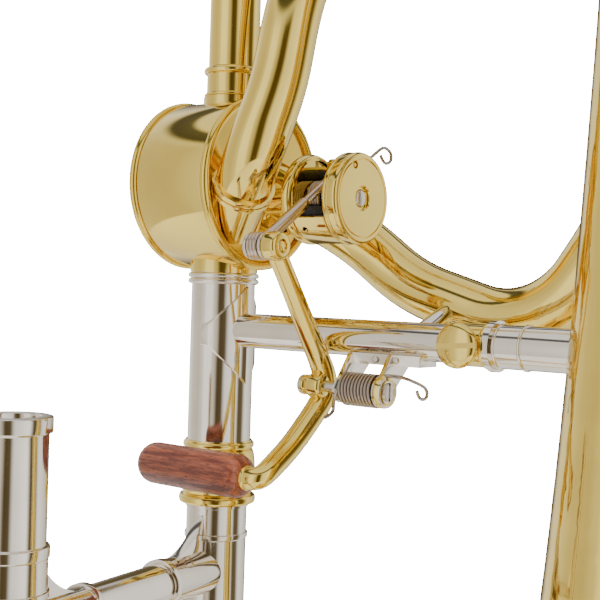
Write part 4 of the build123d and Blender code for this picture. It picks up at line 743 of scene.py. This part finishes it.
class TROMBONE_OT_linkage(PieceOperator):
    """The link from the thumb lever to the stop arm, with its stacked ball joint and threaded rod."""
    bl_idname = "trombone.linkage"
    bl_label = "Linkage"

    def execute(self, context):
        sizes = context.scene.trombone_sizes
        ball = Vector(BALL)
        eye_x = high("link_rod").x
        eye = Vector((eye_x - 1.0 * MM, 0, 0))
        eye.y = mid("stop_arm").y
        eye.z = high("stop_arm").z - 1.8 * MM
        eye.y = STOP.y + (eye.z - STOP.z) * cos(radians(94)) / sin(radians(94))
        socket_x = ball.x + 1.95 * MM
        width = 3.3 * MM
        lobe = 3.75 * MM
        stations = [(0, 1.36 * MM), (0, lobe - 0.5 * MM)]
        for step in range(3):
            stations += bead(step * width / 3, width / 3, lobe - 0.5 * MM, 0.5 * MM, 6)
        stations += [(width, 1.36 * MM), (0, 1.36 * MM)]
        socket = turned("socket", (socket_x, ball.y, ball.z), X, stations, 64, 50)
        start = Vector((socket_x + width / 2, ball.y, ball.z))
        run = eye - start
        away = run.normalized()
        reach = run.length
        stem = [(2.6 * MM, 0), (2.6 * MM, 1.9 * MM), (5.0 * MM, 1.75 * MM), (reach * 0.50, 1.7 * MM),
                (reach * 0.52, 1.55 * MM), (reach * 0.54, 1.2 * MM)]
        pitch = sizes.thread_pitch * 1.3
        spot = reach * 0.54
        while spot < reach * 0.82:
            stem += [(spot + pitch * 0.25, 1.02 * MM), (spot + pitch * 0.75, 1.2 * MM)]
            spot += pitch
        stem += [(reach * 0.84, 1.45 * MM), (reach - 2.0 * MM, 1.45 * MM), (reach - 1.2 * MM, 0)]
        rod = turned("rod", start, away, stem, 40, 30)
        loop = turned("loop", (eye_x - 2.0 * MM, eye.y, eye.z), X,
                      rounded(0, 2.0 * MM, 2.3 * MM, 0.4 * MM), 48)
        joined("link_with_joint", socket, rod, loop)
        place(socket, "bronzed", "nickel_silver", "link_rod")

        head = turned("head", (ball.x, ball.y, ball.z), X, [
            (0, 0), (0.08 * MM, 1.4 * MM), (0.35 * MM, 2.7 * MM), (0.8 * MM, 3.5 * MM), (1.3 * MM, 3.7 * MM),
            (1.7 * MM, 3.5 * MM), (1.8 * MM, 3.0 * MM), (1.8 * MM, 0)], 64, 50)
        pin = turned("pin", (ball.x + 1.2 * MM, ball.y, ball.z), X,
                     rounded(0, 7.3 * MM, 1.3 * MM, 0.1 * MM), 32)
        end_x = high("ball_screw").x
        disc = turned("disc", (end_x - 3.0 * MM, ball.y, ball.z), X,
                      rounded(0, 0.95 * MM, 3.7 * MM, 0.3 * MM), 64)
        tip = turned("tip", (end_x - 1.0 * MM, ball.y, ball.z), X,
                     rounded(0, 2.6 * MM, 1.25 * MM, 0.3 * MM), 32)
        joined("ball_joint_screw", head, pin, disc, tip)
        place(head, "soft_nickel", "nickel_silver", "ball_screw")
        return {"FINISHED"}


class TROMBONE_OT_thumb_lever(PieceOperator):
    """The bent brass thumb lever with its two eyes."""
    bl_idname = "trombone.thumb_lever"
    bl_label = "Thumb lever"

    def execute(self, context):
        x = high("lever").x - 2.9 * MM
        ball = Vector((x, BALL.y, BALL.z))
        pivot = Vector((x, PIVOT.y, PIVOT.z))
        grip = Vector((x, GRIP.y, GRIP.z))
        knee = pivot + Vector((0, 3.6, 2.4)) * MM
        heel = pivot + Vector((0, 3.3, -3.4)) * MM
        hollow = pivot + Vector((0, -10.5, -15.8)) * MM
        down = (knee - ball).normalized()
        back = (hollow - heel).normalized()
        last = (grip - hollow).normalized()
        mouth = Vector((high("thumb_grip").x - 4.0 * MM, grip.y, grip.z))
        bar = drawn("bar", [
            ball, ball + down * 8 * MM, ball + down * 24 * MM, knee - down * 6 * MM, knee, heel,
            heel + back * 6 * MM, hollow, grip - last * 6 * MM, grip, grip - X * 4.0 * MM,
            mouth + X * 0.8 * MM, mouth], 3.15 * MM, sides=12, smooth=16, order=4,
            swell=[0.84, 0.85, 0.90, 1.0, 1.08, 1.08, 1.05, 1.02, 1.0, 0.98, 0.94, 0.94, 0.94])
        eye = turned("eye", ball - X * 2.0 * MM, X, rounded(0, 4.9 * MM, 3.9 * MM, 1.1 * MM), 64)
        bored = turned("bored", ball + X * 1.7 * MM, X, rounded(0, 3 * MM, 1.9 * MM, 0.02 * MM), 32)
        screw = turned("screw", ball + X * 1.4 * MM, X, rounded(0, 1.2 * MM, 1.6 * MM, 0.5 * MM), 32)
        boss = turned("boss", pivot - X * 2.4 * MM, X, rounded(0, 5.2 * MM, 3.6 * MM, 1.4 * MM), 64)
        knob = turned("knob", pivot - X * 5.2 * MM, X, [
            (0, 0), (0.1 * MM, 1.6 * MM), (0.5 * MM, 2.5 * MM), (1.2 * MM, 2.9 * MM), (1.9 * MM, 2.7 * MM),
            (2.4 * MM, 2.0 * MM), (2.9 * MM, 2.0 * MM), (2.9 * MM, 0)], 64, 50)
        collar = turned("collar", (high("thumb_grip").x - 0.4 * MM, grip.y, grip.z), X,
                        rounded(0, 1.6 * MM, 3.3 * MM, 0.5 * MM), 48)
        eye = cut(eye, bored)
        joined("thumb_lever_bar", bar, eye, screw, boss, knob, collar)
        place(bar, "lacquered_brass", "lacquered_brass", "lever")
        return {"FINISHED"}


class TROMBONE_OT_thumb_grip(PieceOperator):
    """The rounded wooden roller under the thumb, bored at one end for the lever."""
    bl_idname = "trombone.thumb_grip"
    bl_label = "Wooden grip"

    def execute(self, context):
        start = low("thumb_grip").x
        length = high("thumb_grip").x - start
        radius = (high("thumb_grip").z - low("thumb_grip").z) / 2
        nose = 4.6 * MM
        shoulder = 3.2 * MM
        turns = [pi / 2 * i / 8 for i in range(9)]
        stations = [(0, 0)] + [(nose * (1 - sin(t)), radius - nose * (1 - cos(t))) for t in reversed(turns)]
        stations += [(length * f, radius) for f in (0.3, 0.5, 0.7)]
        stations += [(length - shoulder * (1 - sin(t)), radius - shoulder * (1 - cos(t))) for t in turns]
        stations += [(length, 3.0 * MM), (length - 0.5 * MM, 2.8 * MM), (length - 0.6 * MM, 0)]
        piece = turned("wooden_grip", (start, GRIP.y, GRIP.z), X, stations, 96, 60)
        place(piece, "hardwood", "hardwood", "thumb_grip")
        return {"FINISHED"}


class TROMBONE_OT_lever_bracket(PieceOperator):
    """The bracket under the brace: screwed base, two lugs, slotted pivot and the coiled lever spring."""
    bl_idname = "trombone.lever_bracket"
    bl_label = "Lever bracket"

    def execute(self, context):
        sizes = context.scene.trombone_sizes
        left = low("lever_bracket").x
        right = high("lever_bracket").x
        polished("lever_bracket", "nickel_silver", ease=0.3 * MM)
        heads = []
        for x in (left + 9 * MM, left + 15.6 * MM):
            head = turned("head", (x, BRACE.y - 4.3 * MM, low("bell_brace_tube").z - 0.1 * MM), -Y,
                          rounded(0, 0.6 * MM, 1.0 * MM, 0.3 * MM), 24)
            heads.append(head)
        joined("bracket_screws", *heads)
        place(heads[0], "soft_nickel", "nickel_silver", body="frame")

        start = low("lever_pivot").x
        end = high("lever_pivot").x
        spring_end = high("lever_spring").x
        barrel = end - 0.8 * MM - spring_end
        shell = turned("bracket_barrel", (spring_end, PIVOT.y, PIVOT.z), X, [
            (0, 1.7 * MM), (0, 3.5 * MM), (0.25 * MM, 4.1 * MM), (0.8 * MM, 4.45 * MM),
            (barrel - 0.9 * MM, 4.45 * MM), (barrel - 0.3 * MM, 4.2 * MM), (barrel, 3.7 * MM),
            (barrel + 0.1 * MM, 3.0 * MM), (barrel - 0.3 * MM, 2.7 * MM), (barrel - 0.3 * MM, 1.7 * MM),
            (0, 1.7 * MM)], 64)
        place(shell, "lacquered_brass", "nickel_silver", body="frame")
        shaft = turned("shaft", (start + 1.0 * MM, PIVOT.y, PIVOT.z), X,
                       rounded(0, end - start - 2 * MM, 1.6 * MM, 0.2 * MM), 40)
        nut = turned("nut", (start, PIVOT.y, PIVOT.z), X, rounded(0, 1.8 * MM, 2.8 * MM, 0.45 * MM), 48)
        head = turned("pivot_head", (end - 1.8 * MM, PIVOT.y, PIVOT.z), X,
                      rounded(0, 1.5 * MM, 2.55 * MM, 0.35 * MM), 64)
        slit = block("slit", (end - 0.1 * MM, PIVOT.y, PIVOT.z), (1.4 * MM, 0.8 * MM, 8 * MM), 0)
        head = cut(head, slit)
        joined("pivot_pin", shaft, nut, head)
        place(shaft, "soft_nickel", "nickel_silver", "lever_pivot")

        a = low("lever_spring").x
        b = high("lever_spring").x
        reach = (high("lever_spring").z - low("lever_spring").z) / 2 - sizes.spring_wire
        turns = sizes.spring_turns
        winding = coil("winding", (a + sizes.spring_wire, PIVOT.y, PIVOT.z), X, turns,
                       b - a - 2 * sizes.spring_wire, reach, sizes.spring_wire)
        left_end = drawn("left_end", [
            Vector((a + 0.3 * MM, PIVOT.y - reach, PIVOT.z)),
            Vector((a - 0.6 * MM, PIVOT.y - reach, PIVOT.z - 3 * MM)),
            at(50, -9.2, -62.0), at(50, -9.4, -63.6), at(50, -11.2, -64.6), at(50, -13.0, -65.0)],
            sizes.hook_wire)
        right_end = drawn("right_end", [
            Vector((b - 0.3 * MM, PIVOT.y, PIVOT.z + reach)), at(69.4, -7.0, -52.6), at(70, 2.8, -55.4),
            at(70, 5.9, -56.9), at(70, 6.0, -59.1), at(70, 3.5, -59.6), at(70, 1.4, -58.4),
            at(70, 0.9, -57.0)],
            sizes.hook_wire)
        arbor = ring("spring_arbor", (a + 0.6 * MM, PIVOT.y, PIVOT.z), X, 1.7 * MM,
                     (0, reach - 0.5 * MM), (b - a - 1.2 * MM, reach - 0.5 * MM), sides=48)
        place(arbor, "bronzed", "nickel_silver", body="frame")
        joined("lever_torsion_spring", winding, left_end, right_end)
        place(winding, "spring_steel", "spring_steel", "lever_spring")
        return {"FINISHED"}


class TROMBONE_OT_bell_brace(PieceOperator):
    """The nickel brace to the bell: tube, brass sleeve with rings, domed thumbscrew and diamond foot."""
    bl_idname = "trombone.bell_brace"
    bl_label = "Bell brace"

    def execute(self, context):
        sizes = context.scene.trombone_sizes
        polished("bell_brace_tube", "nickel_silver")
        polished("brace_foot", "nickel_silver", ease=0.15 * MM)
        start = low("bell_brace_sleeve").x
        length = high("bell_brace_sleeve").x - start
        tube = (high("bell_brace_tube").z - low("bell_brace_tube").z) / 2
        wall = (high("bell_brace_sleeve").z - low("bell_brace_sleeve").z) / 2 - 0.4 * MM
        outer = [(0, wall - 0.3 * MM)] + bead(0.1 * MM, 1.3 * MM, wall - 0.1 * MM, 0.5 * MM)
        outer += [(1.7 * MM, wall - 0.1 * MM), (length - 1.7 * MM, wall - 0.1 * MM)]
        outer += bead(length - 1.5 * MM, 1.4 * MM, wall - 0.1 * MM, 0.5 * MM) + [(length, wall - 0.3 * MM)]
        piece = ring("brace_sleeve_turned", (start, BRACE.y, BRACE.z), X, tube, *outer)
        place(piece, "lacquered_brass", "lacquered_brass", "bell_brace_sleeve")

        screw = mid("brace_screw")
        back = BRACE.y - wall - 0.3 * MM
        front = low("brace_screw").y
        radius = (high("brace_screw").x - low("brace_screw").x) / 2
        deep = back - front
        dome = [(0, 0), (0, radius * 0.72), (0.25 * deep, radius * 0.80), (0.34 * deep, radius * 0.985),
                (0.46 * deep, radius), (0.58 * deep, radius * 0.985)]
        dome += [(0.58 * deep + 0.42 * deep * sin(t), radius * (0.955 * cos(t) + 0.0))
                 for t in [pi / 2 * i / 9 for i in range(1, 9)]]
        dome += [(deep, 0)]
        knob = turned("knob", (screw.x, back, screw.z), -Y, dome, 96, 40)
        slit = block("slit", (screw.x, front, screw.z), (3 * radius, 3.0 * MM, sizes.slot), 0,
                     turn=Quaternion(Y, radians(-4)))
        knob = cut(knob, slit)
        shank = turned("shank", (screw.x, back + 1.6 * MM, screw.z), -Y,
                       rounded(0, 2.0 * MM, 2.0 * MM, 0.1 * MM), 32)
        joined("brace_thumbscrew_knob", knob, shank)
        place(knob, "lacquered_brass", "lacquered_brass", "brace_screw")

        polished("bell_brace_end", "nickel_silver")
        start = low("bell_brace_end").x
        wall = (high("bell_brace_end").z - low("bell_brace_end").z) / 2 - 0.97 * MM
        outer = [(2.2 * MM, wall)] + bead(2.4 * MM, 0.8 * MM, wall, 0.3 * MM)
        outer += bead(9.4 * MM, 0.9 * MM, wall, 0.35 * MM) + [(10.6 * MM, wall)]
        rings = ring("brace_end_rings", (start, BRACE.y, BRACE.z), X, wall - 0.2 * MM, *outer)
        place(rings, "nickel_silver", "nickel_silver", body="frame")
        return {"FINISHED"}


class TROMBONE_OT_lock_nut(PieceOperator):
    """The turned nut that locks the bell half to the slide."""
    bl_idname = "trombone.lock_nut"
    bl_label = "Lock nut"

    def execute(self, context):
        bottom = low("bell_lock_nut").z
        height = high("bell_lock_nut").z - bottom
        rim = (high("bell_lock_nut").x - low("bell_lock_nut").x) / 2
        bore = NECK_R + 0.06 * MM
        outer = [(0, rim - 1.1 * MM)] + bead(0.05 * MM, 2.4 * MM, rim - 0.8 * MM, 0.55 * MM)
        outer += [(2.6 * MM, rim - 1.5 * MM)]
        outer += bead(2.8 * MM, height - 5.6 * MM, rim - 1.7 * MM, 1.1 * MM, 14)
        outer += [(height - 2.6 * MM, rim - 1.9 * MM)]
        outer += bead(height - 2.4 * MM, 2.0 * MM, rim - 1.7 * MM, 0.6 * MM) + [(height, rim - 1.8 * MM)]
        piece = ring("lock_nut_turned", (0, 0, bottom), Z, bore, *outer)
        place(piece, "lacquered_brass", "lacquered_brass", "bell_lock_nut")
        return {"FINISHED"}


class TROMBONE_OT_hand_slide(PieceOperator):
    """The hand slide: cork barrels, braces, tubes, sleeves, water key and rubber tip."""
    bl_idname = "trombone.hand_slide"
    bl_label = "Hand slide"

    def execute(self, context):
        for node, finish, ease in (
            ("cork_barrels", "nickel_silver", 0.3),
            ("inner_slide_brace", "nickel_silver", 0.0),
            ("brace_joints", "nickel_silver", 0.3),
            ("inner_slide_tubes", "chrome_plate", 0.0),
            ("outer_slide_tubes", "lacquered_brass", 0.0),
            ("outer_slide_sleeves", "nickel_silver", 0.35),
            ("hand_brace", "nickel_silver", 0.25),
            ("tip_socket", "nickel_silver", 0.25),
            ("slide_lock_ring", "nickel_silver", 0.4),
            ("water_nipple", "nickel_silver", 0.2),
            ("water_key_saddle", "nickel_silver", 0.25),
            ("water_key_lever", "nickel_silver", 0.35),
            ("water_key_cork", "cork", 0.4),
            ("slide_tip", "rubber", 0.5),
        ):
            polished(node, finish, ease=ease * MM)
        return {"FINISHED"}


class TROMBONE_OT_receiver(PieceOperator):
    """The receiver at the top of the mouthpiece tube."""
    bl_idname = "trombone.receiver"
    bl_label = "Mouthpiece receiver"

    def execute(self, context):
        polished("mouthpiece_receiver", "nickel_silver", ease=0.4 * MM)
        return {"FINISHED"}


class TROMBONE_OT_stage(PieceOperator):
    """A pale floor, a white room with darker panels for the metal to show, soft lamps and the camera."""
    bl_idname = "trombone.stage"
    bl_label = "Stage"

    def execute(self, context):
        studio = context.scene.trombone_studio
        clear_hand()
        bpy.ops.mesh.primitive_circle_add(vertices=96, radius=1.35, fill_type="NGON",
                                          location=(0, 0, -0.0005))
        floor = bpy.context.object
        floor.name = "floor"
        sheet = Sheet("pale_floor")
        grain = sheet.noise(sheet.place(), 9.0, 3.0)
        floor.data.materials.append(sheet.finish(
            Base_Color=sheet.mix(grain, (0.80, 0.80, 0.79), (0.84, 0.84, 0.83)), Roughness=0.6 + 0.1 * grain))
        self.room(context, studio)
        self.lamps()
        self.camera(context, studio)
        return {"FINISHED"}

    def room(self, context, studio):
        """A white surround; the metal sees soft dark panels in it, the camera sees plain white."""
        world = bpy.data.worlds.new("white_room")
        context.scene.world = world
        sheet = Sheet("white_room", world)
        spot = sheet.node("TexCoord")
        across, along, height = (sheet.node("SeparateXYZ", out=i, Vector=spot) for i in range(3))
        round_about = sheet.node("MapRange", Value=sheet.maths("ARCTAN2", along, across),
                                 From_Min=-pi, From_Max=pi)
        walls = sheet.ramp(round_about, [(where, self.warmed(grey)) for where, grey in self.panels()])
        bands = sheet.ramp(height, [(where, (grey, grey, grey)) for where, grey in self.ceiling()])
        above = sheet.node("MapRange", Value=height, From_Min=0.56, From_Max=0.64)
        seen_by_metal = sheet.node("Background", Color=sheet.mix(above, walls, bands), Strength=studio.room)
        seen_by_camera = sheet.node("Background", Strength=studio.backdrop)
        either = sheet.node("MixShader", n0=sheet.node("LightPath"), n1=seen_by_metal, n2=seen_by_camera)
        sheet.put(sheet.tree.nodes.new("ShaderNodeOutputWorld").inputs["Surface"], either)

    def warmed(self, grey):
        """A wall's colour for its grey: the darker, the warmer."""
        warm = min(1.0, 0.55 + 0.45 * grey)
        return grey, grey * (0.4 + 0.6 * warm), grey * warm * warm

    def panels(self):
        """Grey of the room's walls round the compass, from -X through -Y, +X and +Y back to -X."""
        return [(0.00, 1.0), (0.06, 0.85), (0.12, 0.80), (0.165, 0.95), (0.20, 1.5), (0.25, 1.5),
                (0.29, 0.8), (0.335, 0.10), (0.37, 0.12), (0.42, 1.2), (0.52, 1.6), (0.565, 0.14),
                (0.60, 0.16), (0.66, 1.3), (0.76, 0.9), (0.82, 0.12), (0.87, 0.14), (0.93, 1.2)]

    def ceiling(self):
        """Grey above head height, from the edge of the walls up: a dark cornice, then a white ceiling."""
        return [(0.00, 1.0), (0.62, 1.0), (0.68, 0.10), (0.755, 0.13), (0.79, 1.15), (1.00, 1.0)]

    def lamps(self):
        """Three soft boxes: one left, one right and one overhead."""
        centre = DRUM
        for name, where, size, power in (
            ("left_box", (-1.3, -0.9, 0.5), (0.9, 1.8), 26.0),
            ("right_box", (1.3, -0.5, 0.35), (0.5, 1.8), 16.0),
            ("top_box", (0.1, -0.4, 1.6), (1.4, 1.0), 20.0),
        ):
            clear_hand()
            bpy.ops.object.light_add(type="AREA", location=centre + Vector(where))
            lamp = bpy.context.object
            lamp.name = name
            lamp.data.shape = "RECTANGLE"
            lamp.data.size, lamp.data.size_y = size
            lamp.data.energy = power
            lamp.visible_glossy = False
            lamp.rotation_euler = (-Vector(where)).to_track_quat("-Z", "Y").to_euler()

    def camera(self, context, studio):
        """Stands the camera level with the valve, a little to the bell's side."""
        a = studio.azimuth
        e = studio.elevation
        back = Vector((sin(a) * cos(e), -cos(a) * cos(e), sin(e)))
        right = Vector((cos(a), sin(a), 0))
        up = back.cross(right)
        pivot = Vector((0, 0, DRUM.z))
        bpy.ops.object.camera_add(location=pivot + right * studio.aside + up * studio.lift
                                  + back * studio.distance)
        camera = bpy.context.object
        camera.name = "camera"
        turn = Matrix((right, up, back)).transposed() @ Matrix.Rotation(studio.roll, 3, "Z")
        camera.rotation_euler = turn.to_euler()
        camera.data.sensor_width = 36.0
        camera.data.lens = studio.lens
        camera.data.clip_start = 0.01
        camera.data.clip_end = 50.0
        context.scene.camera = camera


class TROMBONE_PT_sidebar(Panel):
    """Lists the builders and the sizes, finishes and studio that they use."""
    bl_idname = "TROMBONE_PT_sidebar"
    bl_label = "Trombone"
    bl_space_type = "VIEW_3D"
    bl_region_type = "UI"
    bl_category = "Trombone"

    def draw(self, context):
        for group in (context.scene.trombone_sizes, context.scene.trombone_finishes,
                      context.scene.trombone_studio):
            column = self.layout.column(align=True)
            for key in group.__annotations__:
                column.prop(group, key)
        column = self.layout.column(align=True)
        for operator in BUILDERS:
            column.operator(operator.bl_idname)


BUILDERS = (
    TROMBONE_OT_tubes,
    TROMBONE_OT_ferrules,
    TROMBONE_OT_valve,
    TROMBONE_OT_stop_housing,
    TROMBONE_OT_linkage,
    TROMBONE_OT_thumb_lever,
    TROMBONE_OT_thumb_grip,
    TROMBONE_OT_lever_bracket,
    TROMBONE_OT_bell_brace,
    TROMBONE_OT_lock_nut,
    TROMBONE_OT_hand_slide,
    TROMBONE_OT_receiver,
    TROMBONE_OT_stage,
)
GROUPS = (
    ("trombone_sizes", TromboneSizes),
    ("trombone_finishes", TromboneFinishes),
    ("trombone_studio", TromboneStudio),
)


def register():
    """Registers every class and hangs the property groups on the scene."""
    for name, group in GROUPS:
        bpy.utils.register_class(group)
        setattr(bpy.types.Scene, name, PointerProperty(type=group))
    for operator in BUILDERS:
        bpy.utils.register_class(operator)
    bpy.utils.register_class(TROMBONE_PT_sidebar)


def unregister():
    """Takes it all away again."""
    bpy.utils.unregister_class(TROMBONE_PT_sidebar)
    for operator in reversed(BUILDERS):
        bpy.utils.unregister_class(operator)
    for name, group in reversed(GROUPS):
        delattr(bpy.types.Scene, name)
        bpy.utils.unregister_class(group)


def main():
    """Builds every piece in order."""
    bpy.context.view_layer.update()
    register()
    for operator in BUILDERS:
        group, action = operator.bl_idname.split(".")
        getattr(getattr(bpy.ops, group), action)()


if __name__ == "__main__":
    main()
